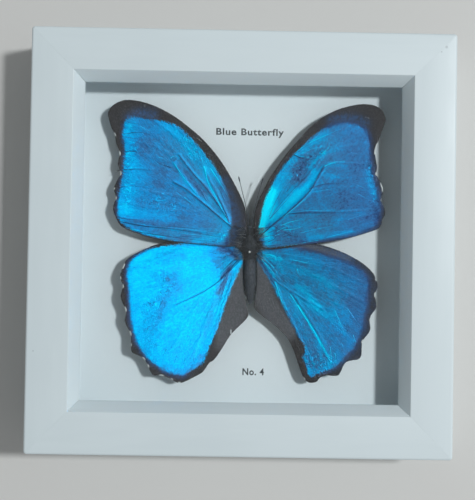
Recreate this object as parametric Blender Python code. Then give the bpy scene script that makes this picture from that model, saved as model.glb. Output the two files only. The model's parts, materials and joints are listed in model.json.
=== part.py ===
"""Framed butterfly specimen: a square white box frame, glazed, with one butterfly pinned over a card.

Metres, +Z up. The frame lies on its back: the glass faces +Z and the top of the picture is +Y.
The origin is at the bottom centre of the frame's box.
"""
import math

import bmesh
import bpy
from mathutils import Matrix, Vector

MM = 0.001
GAP = 0.3 * MM                    # clearance between neighbouring pieces

# Frame moulding
FRAME_SIDE = 200 * MM             # outer width and height
FRAME_DEPTH = 40 * MM
FACE_WIDTH = 20 * MM              # flat front face of a rail
BEVEL_WIDTH = 4.5 * MM            # sloping edge inside the face
BEVEL_DEPTH = 7 * MM
LIP_HEIGHT = 1 * MM               # square edge under the bevel
EDGE_ROUND = 1.2 * MM             # eased outer edge of the face
ROUND_STEPS = 4
WALL = 12.5 * MM                  # thickness of the rail behind the lip
MITRE_CLEARANCE = 0.22 * MM       # along the rail, at each mitre

# What the rabbet holds, from the front to the back
GLASS_THICKNESS = 2 * MM
GLASS_CHAMFER = 0.2 * MM
CARD_TOP = 15 * MM
CARD_THICKNESS = 5 * MM
BOARD_THICKNESS = 3 * MM
SPACER_THICKNESS = 4 * MM

# Framer's points
POINT_WIDTH = 9 * MM
POINT_LENGTH = 14 * MM
POINT_THICKNESS = 0.7 * MM
POINT_IN_RAIL = 5.5 * MM
POINT_CHAMFER = 0.15 * MM
POINT_SPACING = 45 * MM           # from the middle of a side

# Sawtooth hanger
HANGER_Y = 62 * MM
HANGER_LENGTH = 46 * MM
HANGER_WIDTH = 8 * MM
HANGER_SHEET = 0.8 * MM
HANGER_RISE = 1.2 * MM
HANGER_TAB = 9 * MM
HANGER_RAMP = 2.5 * MM
TOOTH_COUNT = 9
TOOTH_DEPTH = 1.8 * MM
NAIL_HEAD_RADIUS = 1.6 * MM
NAIL_HEAD_HEIGHT = 0.6 * MM
NAIL_RADIUS = 0.6 * MM
NAIL_IN_BOARD = 1.8 * MM

# Insect pin
PIN_X = 4.0 * MM
PIN_Y = -4.0 * MM
PIN_RADIUS = 0.3 * MM
PIN_HEAD_RADIUS = 0.5 * MM
PIN_NECK = 1.9                   # depth of the head in head radii, where it meets the shaft
PIN_POINT = 1 * MM               # length of the taper at the tip
PIN_TIP_RADIUS = 0.1 * MM
PIN_TOP = 27.2 * MM
PIN_TIP = 12 * MM

# Butterfly
WING_THICKNESS = 0.3 * MM
WING_RINGS = 4                    # rings between a wing's middle and its edge
WING_STEPS = 2                    # smooth steps between two outline points
FOREWING_ROOT_Z = 24.6 * MM
FOREWING_DROOP = 0.8 * MM         # fall from root to tip
FOREWING_SPAN = 75 * MM
HINDWING_Z = 23.45 * MM
HINDWING_RISE_LEFT = 2.1 * MM     # how far the outer margin lifts above the root
HINDWING_RISE_RIGHT = 0.8 * MM
HINDWING_FLAT = 6 * MM           # beside the body, where it does not rise
HINDWING_RISE_WIDTH = 42 * MM    # over which it rises outwards
HINDWING_RISE_LENGTH = 14 * MM   # over which it rises towards the rear
BODY_Z = 23 * MM
BODY_SIDES = 20
ANTENNA_RADIUS = 0.22 * MM
ANTENNA_CLUB = 0.42 * MM

# Outlines in millimetres, clockwise or not; each runs once round the wing.
FOREWING_LEFT = [
    (-0.8, 0), (-0.8, 3), (0.2, 6), (1.2, 9.5), (1.7, 14),                      # root
    (1.4, 18), (-1.6, 24.7), (-7, 34.4), (-12.2, 42), (-19, 49.7), (-25.5, 55.3),
    (-33, 60.8), (-40.5, 64.9), (-47.3, 67.4), (-53, 68.5), (-58, 68.5), (-62.5, 66.5),
    (-65, 63.7), (-65.5, 61), (-64, 55.5), (-62.2, 51.8), (-61.2, 47.2),        # tip
    (-59.6, 42.6), (-60.3, 37.5), (-59, 33), (-60.6, 29.4), (-62, 25.5),        # outer margin
    (-61, 21.3), (-62.2, 16), (-60.8, 11.5), (-58.8, 8.2), (-56.2, 6.2),
    (-51.5, 4.5), (-45.5, 2.6), (-38, 1.2), (-29, 0), (-20, -0.8), (-10, -1.5), (-3.5, -1.6),
]
FOREWING_RIGHT = [
    (9.2, 0), (9, 3), (7.9, 6), (6.9, 9.5), (6.4, 14),
    (7, 18.5), (9.6, 24.8), (13, 31.5), (17, 38), (21.8, 44.7), (26.8, 50.6),
    (31.2, 55.8), (35.6, 59.8), (40, 62.9), (45.4, 65.7), (51, 67.5), (56.5, 68.6), (61, 68.6),
    (64.4, 67.8), (67.2, 65.9), (68.9, 62.5), (68.6, 59.5), (67.3, 55.8), (65.7, 50.9),
    (64.2, 45), (65.2, 38), (64.9, 34.8), (67.6, 29.4), (68.2, 26), (67.4, 22.2),
    (69, 18.2), (69.3, 15.5), (68.3, 12.8), (67.3, 9.6), (65.5, 8), (61, 6.3),
    (56, 4.7), (51, 3.3), (46, 2.2), (40, 1.2), (33, 0.2), (25, -1), (18.5, -2.2), (12, -2.5),
]
HINDWING_LEFT = [
    (0.1, -3.6), (-4, -0.4), (-11, 1.8), (-19, 2.4), (-27, 1.5), (-34, 0.3), (-41, -1.1),
    (-46, -3.2), (-51, -5.8), (-54.5, -8.2), (-56.2, -10.8), (-58, -16.8), (-56.6, -21.5),
    (-57.5, -26.8), (-54.9, -33.6), (-55.3, -38.3), (-52.5, -44.5), (-52.2, -50.5),
    (-51.3, -53.3), (-48.3, -54.6), (-45.4, -56.7), (-42.6, -62), (-41, -63.9), (-37.5, -64),
    (-34, -65), (-29.5, -67.3), (-26.5, -67), (-20.5, -64), (-17.3, -61.9), (-14.5, -57.8),
    (-12, -56), (-8.3, -50.5), (-4.7, -44.6), (-1.5, -41), (2.2, -37.3), (3.8, -35),
    (3.9, -32.6), (3.1, -30.6), (2.7, -28), (1.8, -24), (1.1, -19), (0.9, -13), (1, -8),
]
HINDWING_RIGHT = [
    (7.9, -3.8), (12, -0.6), (19, 1.8), (27, 2.2), (33, 1.4), (38.5, 0.1), (43.5, -1.3),
    (49.5, -3.5), (54.6, -6), (58.8, -8.5), (62.3, -11.5), (64.6, -14.4), (66.3, -19),
    (65, -23.6), (65.7, -29.5), (63.3, -33.3), (62.5, -36), (62.7, -41), (59.2, -46.4),
    (58.7, -53), (56.8, -55), (53.8, -55.5), (50.8, -57), (48.2, -62.2), (45.5, -63),
    (42, -62.8), (39, -64), (37.3, -66), (34, -66.5), (31.6, -65), (30, -62), (28, -56.5),
    (26, -51), (23.5, -46), (20, -42), (15.5, -38), (10.5, -34.5), (7.3, -31.6),
    (6.6, -29.4), (6.9, -27), (7.4, -24), (7.8, -19), (7.8, -13), (7.5, -8.5),
]
# Body stations in millimetres: y, middle x, half width, half height
BODY_STATIONS = [
    (8.6, 4.0, 0.7, 0.7), (7.8, 4.0, 1.5, 1.5), (6.4, 4.0, 1.9, 1.9), (5.2, 4.0, 1.7, 1.8),
    (4.3, 4.0, 1.5, 1.6), (3.2, 4.0, 2.8, 2.5), (1.2, 4.1, 4.0, 3.1), (-1.5, 4.1, 4.1, 3.2),
    (-4, 4.1, 3.2, 2.7), (-5.6, 4.2, 2.2, 2.2), (-8, 4.3, 2.6, 2.6), (-13, 4.4, 3.0, 3.0),
    (-19, 4.5, 2.9, 2.8), (-24, 4.6, 2.2, 2.1), (-27.5, 4.7, 1.3, 1.3), (-29.2, 4.7, 0.5, 0.5),
]
# Antenna routes in millimetres, from the head to the tip
ANTENNA_LEFT = [(3.3, 9.2, 24.1), (2.9, 12.5, 24.9), (2.3, 16, 25.3), (1.2, 20.5, 25.5),
                (0, 25, 25.6), (-1.9, 32.3, 25.4)]
ANTENNA_RIGHT = [(4.8, 9.2, 24.1), (5.3, 13, 24.9), (6.1, 17, 25.2), (7.2, 21.5, 25.4),
                 (8.4, 26, 25.4), (10, 32, 25.2)]

HALF = FRAME_SIDE / 2
LIP_TOP = FRAME_DEPTH - BEVEL_DEPTH
LIP_BOTTOM = LIP_TOP - LIP_HEIGHT
GLASS_TOP = LIP_BOTTOM - GAP
GLASS_BOTTOM = GLASS_TOP - GLASS_THICKNESS
FILL_SIDE = FRAME_SIDE - 2 * WALL - 2 * GAP          # side of the glass, card and board
CARD_BOTTOM = CARD_TOP - CARD_THICKNESS
BOARD_TOP = CARD_BOTTOM - GAP
BOARD_BOTTOM = BOARD_TOP - BOARD_THICKNESS
POINT_TOP = BOARD_BOTTOM - GAP
HANGER_TOP = BOARD_BOTTOM - GAP


def clear_scene():
    for obj in list(bpy.data.objects):
        bpy.data.objects.remove(obj, do_unlink=True)


def make_material(name, color, roughness, metallic=0.0, transmission=0.0):
    material = bpy.data.materials.new(name)
    material.use_nodes = True
    shader = material.node_tree.nodes["Principled BSDF"]
    shader.inputs["Base Color"].default_value = (*color, 1)
    shader.inputs["Roughness"].default_value = roughness
    shader.inputs["Metallic"].default_value = metallic
    shader.inputs["Transmission Weight"].default_value = transmission
    material.diffuse_color = (*color, 1)
    return material


def finish_object(name, mesh, material):
    obj = bpy.data.objects.new(name, mesh)
    bpy.context.collection.objects.link(obj)
    mesh.materials.append(material)
    return obj


def mesh_from_bmesh(name, bm):
    bmesh.ops.remove_doubles(bm, verts=bm.verts, dist=0.00001)
    bmesh.ops.recalc_face_normals(bm, faces=bm.faces)
    mesh = bpy.data.meshes.new(name)
    bm.to_mesh(mesh)
    bm.free()
    return mesh


def make_plate(name, size, centre, material, edge=0.0):
    """A rectangular plate; edge is the width of a small chamfer all round."""
    bm = bmesh.new()
    bmesh.ops.create_cube(bm, size=1)
    bmesh.ops.scale(bm, verts=bm.verts, vec=size)
    obj = finish_object(name, mesh_from_bmesh(name, bm), material)
    obj.location = centre
    if edge:
        bevel = obj.modifiers.new("Edge", "BEVEL")
        bevel.width = edge
        bevel.segments = 1
    return obj


def make_filling(name, low, high, material, edge=0.0):
    """A square sheet that fills the rabbet between two heights."""
    size = (FILL_SIDE, FILL_SIDE, high - low)
    return make_plate(name, size, (0, 0, (low + high) / 2), material, edge)


def make_cutter(name, radius, z_low, z_high, x, y, sides=16):
    bm = bmesh.new()
    bmesh.ops.create_cone(bm, cap_ends=True, segments=sides, radius1=radius, radius2=radius,
                          depth=z_high - z_low)
    return place_cutter(name, bm, (x, y, (z_low + z_high) / 2))


def place_cutter(name, bm, location, turn=0.0):
    cutter = bpy.data.objects.new(name, mesh_from_bmesh(name, bm))
    bpy.context.collection.objects.link(cutter)
    cutter.location = location
    cutter.rotation_euler[2] = turn
    cutter.hide_render = True
    cutter.display_type = "WIRE"
    return cutter


def cut(obj, cutter):
    boolean = obj.modifiers.new("Cut " + cutter.name, "BOOLEAN")
    boolean.operation = "DIFFERENCE"
    boolean.solver = "EXACT"
    boolean.object = cutter


def rail_profile():
    """Section of a rail as (distance in from the outer side, height), going round once."""
    points = [(WALL, 0), (0, 0)]
    for step in range(ROUND_STEPS + 1):
        angle = math.pi / 2 * step / ROUND_STEPS
        points.append((EDGE_ROUND * (1 - math.cos(angle)),
                       FRAME_DEPTH - EDGE_ROUND * (1 - math.sin(angle))))
    points += [
        (FACE_WIDTH, FRAME_DEPTH),
        (FACE_WIDTH + BEVEL_WIDTH, LIP_TOP),
        (FACE_WIDTH + BEVEL_WIDTH, LIP_BOTTOM),
        (WALL, LIP_BOTTOM),
    ]
    return points


def make_rail(name, turn, material):
    """The bottom rail with both ends mitred, turned about the frame's middle to its own side."""
    bm = bmesh.new()
    profile = rail_profile()
    ends = []
    for side in (-1, 1):
        ends.append([bm.verts.new((side * (HALF - inward - MITRE_CLEARANCE), inward - HALF, height))
                     for inward, height in profile])
    count = len(profile)
    for i in range(count):
        j = (i + 1) % count
        bm.faces.new((ends[0][i], ends[0][j], ends[1][j], ends[1][i]))
    bm.faces.new(ends[0])
    bm.faces.new(ends[1])
    rail = finish_object(name, mesh_from_bmesh(name, bm), material)
    rail.rotation_euler[2] = turn
    return rail


def side_place(along, inward, height, turn):
    """A place given along the bottom rail and in from its outer side, turned to another side."""
    return Matrix.Rotation(turn, 3, "Z") @ Vector((along, inward - HALF, height))


def make_framers_point(name, along, turn, rail, steel):
    """A flat steel point, half in a slot cut into the rail's inner wall."""
    height = POINT_TOP - POINT_THICKNESS / 2
    inward = WALL - POINT_IN_RAIL + POINT_LENGTH / 2
    point = make_plate(name, (POINT_WIDTH, POINT_LENGTH, POINT_THICKNESS),
                       side_place(along, inward, height, turn), steel, POINT_CHAMFER)
    point.rotation_euler[2] = turn

    slot_depth = POINT_IN_RAIL + GAP
    bm = bmesh.new()
    bmesh.ops.create_cube(bm, size=1)
    bmesh.ops.scale(bm, verts=bm.verts,
                    vec=(POINT_WIDTH + 2 * GAP, 2 * slot_depth, POINT_THICKNESS + 2 * GAP))
    slot = place_cutter(name + "_slot", bm, side_place(along, WALL, height, turn), turn)
    cut(rail, slot)


def smooth_loop(points, steps):
    """Catmull-Rom curve through a closed ring of points, with some steps from point to point."""
    count = len(points)
    loop = []
    for i in range(count):
        before, here, after, beyond = (Vector(points[(i + k) % count]) for k in (-1, 0, 1, 2))
        for step in range(steps):
            t = step / steps
            loop.append(0.5 * (2 * here + (after - before) * t
                               + (2 * before - 5 * here + 4 * after - beyond) * t ** 2
                               + (3 * here - before - 3 * after + beyond) * t ** 3))
    return loop


def smoothstep(value):
    value = min(max(value, 0), 1)
    return value * value * (3 - 2 * value)


def forewing_height(x, y):
    reach = math.hypot(x - PIN_X, y) / FOREWING_SPAN
    return FOREWING_ROOT_Z - FOREWING_DROOP * reach


def hindwing_height(x, y):
    rise = HINDWING_RISE_LEFT if x < PIN_X else HINDWING_RISE_RIGHT
    outward = smoothstep((abs(x - PIN_X) - HINDWING_FLAT) / HINDWING_RISE_WIDTH)
    behind = smoothstep(-y / HINDWING_RISE_LENGTH)
    return HINDWING_Z + rise * outward * behind


def make_wing(name, outline, height, material):
    """A thin curved sheet: rings that shrink from the outline to its middle, closed at the rim."""
    rim = [point * MM for point in smooth_loop(outline, WING_STEPS)]
    middle = sum(rim, Vector((0, 0))) / len(rim)
    bm = bmesh.new()
    skins = []
    for offset in (WING_THICKNESS / 2, -WING_THICKNESS / 2):
        rings = []
        for ring in range(WING_RINGS, 0, -1):
            flat = [middle.lerp(point, ring / WING_RINGS) for point in rim]
            rings.append([bm.verts.new((p.x, p.y, height(p.x, p.y) + offset)) for p in flat])
        hub = bm.verts.new((middle.x, middle.y, height(middle.x, middle.y) + offset))
        skins.append((rings, hub))
    count = len(rim)
    for i in range(count):
        j = (i + 1) % count
        for rings, hub in skins:
            for outer, inner in zip(rings, rings[1:]):
                bm.faces.new((outer[i], outer[j], inner[j], inner[i]))
            bm.faces.new((rings[-1][i], rings[-1][j], hub))
        upper = skins[0][0][0]
        lower = skins[1][0][0]
        bm.faces.new((upper[i], upper[j], lower[j], lower[i]))
    bmesh.ops.triangulate(bm, faces=bm.faces)
    return finish_object(name, mesh_from_bmesh(name, bm), material)


def make_body(material):
    """Head, thorax and abdomen: elliptical rings along the insect, closed at the nose and tail."""
    bm = bmesh.new()
    rings = []
    for y, x, half_width, half_height in BODY_STATIONS:
        ring = []
        for side in range(BODY_SIDES):
            angle = 2 * math.pi * side / BODY_SIDES
            ring.append(bm.verts.new(((x + half_width * math.cos(angle)) * MM, y * MM,
                                      BODY_Z + half_height * math.sin(angle) * MM)))
        rings.append(ring)
    for front, back in zip(rings, rings[1:]):
        for i in range(BODY_SIDES):
            j = (i + 1) % BODY_SIDES
            bm.faces.new((front[i], front[j], back[j], back[i]))
    bm.faces.new(rings[0])
    bm.faces.new(rings[-1])
    bmesh.ops.triangulate(bm, faces=bm.faces)
    body = finish_object("body", mesh_from_bmesh("body", bm), material)
    body.data.shade_smooth()
    cut(body, make_cutter("pin_hole_in_body", PIN_RADIUS + GAP, PIN_TIP, PIN_TOP, PIN_X, PIN_Y))
    return body


def make_antenna(name, route, material):
    """A thin tube that thickens to a club at its far end."""
    curve = bpy.data.curves.new(name, "CURVE")
    curve.dimensions = "3D"
    curve.bevel_depth = ANTENNA_RADIUS
    curve.bevel_resolution = 2
    curve.use_fill_caps = True
    spline = curve.splines.new("POLY")
    spline.points.add(len(route) - 1)
    for i, (point, place) in enumerate(zip(spline.points, route)):
        point.co = (*(Vector(place) * MM), 1)
        point.radius = ANTENNA_CLUB / ANTENNA_RADIUS if i == len(route) - 1 else 1
    antenna = bpy.data.objects.new(name, curve)
    bpy.context.collection.objects.link(antenna)
    curve.materials.append(material)
    return antenna


def turned_solid(name, profile, x, y, material, sides=16):
    """A solid turned about a vertical axis from (radius, height) pairs, top first."""
    bm = bmesh.new()
    rings = []
    for radius, height in profile:
        rings.append([bm.verts.new((radius * math.cos(2 * math.pi * i / sides),
                                    radius * math.sin(2 * math.pi * i / sides), height))
                      for i in range(sides)])
    for upper, lower in zip(rings, rings[1:]):
        for i in range(sides):
            j = (i + 1) % sides
            bm.faces.new((upper[i], upper[j], lower[j], lower[i]))
    bm.faces.new(rings[0])
    bm.faces.new(rings[-1])
    solid = finish_object(name, mesh_from_bmesh(name, bm), material)
    solid.location = (x, y, 0)
    solid.data.shade_smooth()
    solid.data.set_sharp_from_angle(angle=math.radians(40))
    return solid


def make_pin(material):
    head = PIN_HEAD_RADIUS
    profile = [(head * math.sin(step * math.pi / 8), PIN_TOP - head * (1 - math.cos(step * math.pi / 8)))
               for step in range(1, 7)]
    profile += [(PIN_RADIUS, PIN_TOP - PIN_NECK * head), (PIN_RADIUS, PIN_TIP + PIN_POINT),
                (PIN_TIP_RADIUS, PIN_TIP)]
    return turned_solid("insect_pin", profile, PIN_X, PIN_Y, material)


def hanger_stations():
    """(x, teeth edge y, height) along the hanger: flat tabs, ramps and a raised toothed middle."""
    half = HANGER_LENGTH / 2
    low = HANGER_Y - HANGER_WIDTH / 2
    ramp = half - HANGER_TAB
    crown = ramp - HANGER_RAMP
    stations = [(-half, low, 0), (-ramp, low, 0), (-crown, low, HANGER_RISE)]
    pitch = 2 * crown / TOOTH_COUNT
    for tooth in range(TOOTH_COUNT):
        stations.append((-crown + (tooth + 0.5) * pitch, low + TOOTH_DEPTH, HANGER_RISE))
        stations.append((-crown + (tooth + 1) * pitch, low, HANGER_RISE))
    stations += [(ramp, low, 0), (half, low, 0)]
    return stations


def make_hanger(steel):
    """A bent strip of sheet on the rear of the back board, with its teeth towards the bottom."""
    high = HANGER_Y + HANGER_WIDTH / 2
    bm = bmesh.new()
    rings = []
    for x, low, rise in hanger_stations():
        top = HANGER_TOP - rise
        bottom = top - HANGER_SHEET
        rings.append([bm.verts.new(place) for place in
                      ((x, low, top), (x, high, top), (x, high, bottom), (x, low, bottom))])
    for left, right in zip(rings, rings[1:]):
        for i in range(4):
            j = (i + 1) % 4
            bm.faces.new((left[i], left[j], right[j], right[i]))
    bm.faces.new(rings[0])
    bm.faces.new(rings[-1])
    return finish_object("sawtooth_hanger", mesh_from_bmesh("sawtooth_hanger", bm), steel)


def make_hanger_nail(name, x, hanger, board, steel):
    """A nail through the hanger's end tab into a blind hole in the board."""
    sheet_bottom = HANGER_TOP - HANGER_SHEET
    head_top = sheet_bottom - GAP
    head_bottom = head_top - NAIL_HEAD_HEIGHT
    tip = BOARD_BOTTOM + NAIL_IN_BOARD
    profile = [(NAIL_RADIUS, tip), (NAIL_RADIUS, head_top), (NAIL_HEAD_RADIUS, head_top),
               (NAIL_HEAD_RADIUS, head_bottom + NAIL_HEAD_HEIGHT / 2), (NAIL_HEAD_RADIUS / 2, head_bottom)]
    turned_solid(name, profile, x, HANGER_Y, steel)
    hole = make_cutter(name + "_hole", NAIL_RADIUS + GAP, head_bottom, tip + GAP, x, HANGER_Y)
    cut(hanger, hole)
    cut(board, hole)


def main():
    clear_scene()
    white_paint = make_material("white_paint", (0.80, 0.83, 0.84), 0.45)
    clear_glass = make_material("clear_glass", (1.0, 1.0, 1.0), 0.02, transmission=1.0)
    white_card = make_material("white_card", (0.82, 0.84, 0.86), 0.8)
    brown_board = make_material("brown_board", (0.36, 0.25, 0.16), 0.75)
    grey_steel = make_material("grey_steel", (0.55, 0.55, 0.56), 0.35, metallic=1.0)
    blue_wing = make_material("blue_wing", (0.02, 0.33, 0.75), 0.4)
    dark_body = make_material("dark_body", (0.05, 0.045, 0.045), 0.8)

    rails = {}
    for i, side in enumerate(("bottom", "right", "top", "left")):
        turn = i * math.pi / 2
        rails[side] = make_rail("rail_" + side, turn, white_paint)
        for k, along in enumerate((-POINT_SPACING, POINT_SPACING)):
            make_framers_point(f"framers_point_{2 * i + k + 1}", along, turn, rails[side], grey_steel)

    make_filling("glass_pane", GLASS_BOTTOM, GLASS_TOP, clear_glass, edge=GLASS_CHAMFER)
    card = make_filling("backing_card", CARD_BOTTOM, CARD_TOP, white_card)
    board = make_filling("back_board", BOARD_BOTTOM, BOARD_TOP, brown_board)
    cut(card, make_cutter("pin_hole_in_card", PIN_RADIUS + GAP, PIN_TIP - GAP, CARD_TOP + GAP,
                          PIN_X, PIN_Y))

    spacer_low = CARD_TOP + GAP
    spacer_high = GLASS_BOTTOM - GAP
    spacer_middle = (spacer_low + spacer_high) / 2
    spacer_offset = (FILL_SIDE - SPACER_THICKNESS) / 2
    short_spacer = FILL_SIDE - 2 * SPACER_THICKNESS - 2 * GAP
    for name, sign in (("bottom", -1), ("top", 1)):
        make_plate("spacer_" + name, (FILL_SIDE, SPACER_THICKNESS, spacer_high - spacer_low),
                   (0, sign * spacer_offset, spacer_middle), white_card)
    for name, sign in (("left", -1), ("right", 1)):
        make_plate("spacer_" + name, (SPACER_THICKNESS, short_spacer, spacer_high - spacer_low),
                   (sign * spacer_offset, 0, spacer_middle), white_card)

    hanger = make_hanger(grey_steel)
    nail_x = (HANGER_LENGTH - HANGER_TAB) / 2
    make_hanger_nail("hanger_nail_left", -nail_x, hanger, board, grey_steel)
    make_hanger_nail("hanger_nail_right", nail_x, hanger, board, grey_steel)

    make_wing("forewing_left", FOREWING_LEFT, forewing_height, blue_wing)
    make_wing("forewing_right", FOREWING_RIGHT, forewing_height, blue_wing)
    make_wing("hindwing_left", HINDWING_LEFT, hindwing_height, blue_wing)
    make_wing("hindwing_right", HINDWING_RIGHT, hindwing_height, blue_wing)
    make_body(dark_body)
    make_antenna("antenna_left", ANTENNA_LEFT, dark_body)
    make_antenna("antenna_right", ANTENNA_RIGHT, dark_body)
    make_pin(grey_steel)


main()
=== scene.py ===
import json
import math

import bmesh
import bpy
import numpy as np
from mathutils import Euler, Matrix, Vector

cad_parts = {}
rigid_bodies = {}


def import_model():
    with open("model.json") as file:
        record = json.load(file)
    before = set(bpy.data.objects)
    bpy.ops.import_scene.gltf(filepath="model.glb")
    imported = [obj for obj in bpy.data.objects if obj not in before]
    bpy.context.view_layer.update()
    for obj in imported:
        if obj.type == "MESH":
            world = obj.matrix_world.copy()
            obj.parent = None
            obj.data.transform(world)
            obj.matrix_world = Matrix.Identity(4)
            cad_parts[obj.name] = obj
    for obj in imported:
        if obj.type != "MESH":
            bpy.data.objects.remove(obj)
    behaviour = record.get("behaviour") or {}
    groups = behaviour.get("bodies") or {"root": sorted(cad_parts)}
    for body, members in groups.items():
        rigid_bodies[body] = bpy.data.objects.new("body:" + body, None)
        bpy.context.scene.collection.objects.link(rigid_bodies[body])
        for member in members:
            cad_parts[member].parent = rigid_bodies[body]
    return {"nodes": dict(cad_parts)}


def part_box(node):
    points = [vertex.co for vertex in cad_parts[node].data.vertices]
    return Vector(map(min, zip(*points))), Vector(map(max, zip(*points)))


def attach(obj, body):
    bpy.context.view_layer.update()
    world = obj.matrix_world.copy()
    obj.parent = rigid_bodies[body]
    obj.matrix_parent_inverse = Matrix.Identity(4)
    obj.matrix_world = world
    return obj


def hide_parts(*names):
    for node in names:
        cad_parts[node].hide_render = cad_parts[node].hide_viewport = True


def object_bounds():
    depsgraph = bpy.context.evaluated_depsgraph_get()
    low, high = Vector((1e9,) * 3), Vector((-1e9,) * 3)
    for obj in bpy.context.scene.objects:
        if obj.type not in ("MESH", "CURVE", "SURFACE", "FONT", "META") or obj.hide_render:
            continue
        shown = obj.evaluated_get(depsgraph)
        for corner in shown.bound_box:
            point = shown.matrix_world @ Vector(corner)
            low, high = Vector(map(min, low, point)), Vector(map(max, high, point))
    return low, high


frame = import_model()
cadLow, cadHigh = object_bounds()
mm = 0.001
rng = np.random.default_rng(7)


faceZ = cadHigh[2]                                   # front face of the frame
halfSide = cadHigh[0]
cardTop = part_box("backing_card")[1][2]
bodyLow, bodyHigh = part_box("body")
bodyX = (bodyLow[0] + bodyHigh[0]) / 2
bodyZ = (bodyLow[2] + bodyHigh[2]) / 2
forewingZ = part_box("forewing_left")[1][2]            # top of the forewing at its root
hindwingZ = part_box("hindwing_left")[0][2]            # underside of the hindwing at its root


def makePiece(name, points, faces, material, replaced=(), smooth=True, values=None):
    # a mesh in place, with any per-vertex values stored as float attributes
    mesh = bpy.data.meshes.new(name)
    mesh.from_pydata(np.asarray(points).tolist(), [], faces)
    if smooth:
        mesh.shade_smooth()
    for key, numbers in (values or {}).items():
        numbers = np.asarray(numbers, dtype=np.float32)
        kind, field = ("FLOAT_VECTOR", "vector") if numbers.ndim == 2 else ("FLOAT", "value")
        mesh.attributes.new(key, kind, "POINT").data.foreach_set(field, numbers.ravel())
    mesh.materials.append(material)
    piece = bpy.data.objects.new(name, mesh)
    bpy.context.scene.collection.objects.link(piece)
    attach(piece, "root")
    if replaced:
        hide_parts(*replaced)
    return piece


def smoothPath(points, count, closed=False):
    # Catmull-Rom curve through the points, read again at count places evenly spaced by arc length
    control = np.asarray(points, dtype=float)
    total = len(control)
    if closed:
        padded = np.concatenate([control[-1:], control, control[:2]])
        spans = total
    else:
        first = 2 * control[:1] - control[1:2]
        last = 2 * control[-1:] - control[-2:-1]
        padded = np.concatenate([first, control, last])
        spans = total - 1
    t = np.linspace(0, 1, 16, endpoint=False)[None, :, None]
    a, b, c, d = (padded[k:k + spans][:, None, :] for k in range(4))
    dense = 0.5 * (2 * b + (c - a) * t + (2 * a - 5 * b + 4 * c - d) * t**2 + (3 * b - a - 3 * c + d) * t**3)
    dense = dense.reshape(-1, control.shape[1])
    dense = np.concatenate([dense, dense[:1] if closed else control[-1:]])
    arc = np.concatenate([[0], np.cumsum(np.linalg.norm(np.diff(dense, axis=0), axis=1))])
    places = np.linspace(0, arc[-1], count, endpoint=not closed)
    return np.stack([np.interp(places, arc, dense[:, k]) for k in range(dense.shape[1])], axis=1)


def pathDistance(xy, path):
    # shortest distance from each place to the segments of a path
    best = np.full(len(xy), np.inf)
    for start, end in zip(path[:-1], path[1:]):
        step = end - start
        along = np.clip(((xy - start) @ step) / max(step @ step, 1e-12), 0, 1)
        gap = xy - (start + along[:, None] * step)
        best = np.minimum(best, np.hypot(gap[:, 0], gap[:, 1]))
    return best


def fieldDepth(xy, loop):
    # distance to a closed loop, positive inside it (even-odd count of edges crossed to the right)
    ring = np.concatenate([loop, loop[:1]])
    inside = np.zeros(len(xy), dtype=bool)
    x, y = xy[:, 0], xy[:, 1]
    for (x0, y0), (x1, y1) in zip(ring[:-1], ring[1:]):
        crosses = (y0 > y) != (y1 > y)
        inside ^= crosses & (x < (x1 - x0) * (y - y0) / (y1 - y0 + 1e-15) + x0)
    return np.where(inside, 1.0, -1.0) * pathDistance(xy, ring)


def brush(xy, strokes):
    # sum over strokes of amount * exp(-(distance / radius)^2), left out beyond three radii
    total = np.zeros(len(xy))
    for path, radius, amount in strokes:
        points = np.asarray(path, dtype=float)
        route = smoothPath(points, 6 * len(points)) if len(points) > 1 else np.repeat(points, 2, axis=0)
        reach = 3 * radius
        near = np.all((xy > route.min(axis=0) - reach) & (xy < route.max(axis=0) + reach), axis=1)
        total[near] += amount * np.exp(-(pathDistance(xy[near], route) / radius) ** 2)
    return total


def tube(path, radii, sides):
    # rings of centre + radius * (cos a * across + sin a * up) along a path, closed to a point at both ends
    path = np.asarray(path, dtype=float)
    radii = np.broadcast_to(radii, len(path))
    tangent = np.gradient(path, axis=0)
    tangent /= np.linalg.norm(tangent, axis=1)[:, None]
    up = np.where(np.abs(tangent[:, 2:3]) > 0.9, [[1.0, 0, 0]], [[0, 0, 1.0]])
    across = np.cross(tangent, up)
    across /= np.linalg.norm(across, axis=1)[:, None]
    up = np.cross(across, tangent)
    angle = 2 * np.pi * np.arange(sides) / sides
    circle = np.cos(angle)[None, :, None] * across[:, None, :] + np.sin(angle)[None, :, None] * up[:, None, :]
    rings = path[:, None, :] + radii[:, None, None] * circle
    points = np.concatenate([rings.reshape(-1, 3), path[:1], path[-1:]])
    return points, gridFaces(len(path), sides, poles=True)


def gridFaces(rows, columns, poles=False):
    # quads between rings that close on themselves, with a fan at each end if there are pole points
    i, j = np.meshgrid(np.arange(rows - 1), np.arange(columns), indexing="ij")
    k = (j + 1) % columns
    quads = np.stack([i * columns + j, i * columns + k, (i + 1) * columns + k, (i + 1) * columns + j], -1)
    faces = quads.reshape(-1, 4).tolist()
    if poles:
        ring = np.arange(columns)
        after = (ring + 1) % columns
        last = (rows - 1) * columns
        start, end = np.full(columns, rows * columns), np.full(columns, rows * columns + 1)
        faces += np.stack([after, ring, start, last + ring, last + after, end], -1).reshape(-1, 3).tolist()
    return faces


def joined(parts):
    # several (points, faces) lists as one
    points, faces, base = [], [], 0
    for some, theirs in parts:
        points.append(some)
        faces += [[base + corner for corner in face] for face in theirs]
        base += len(some)
    return np.concatenate(points), faces


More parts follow.
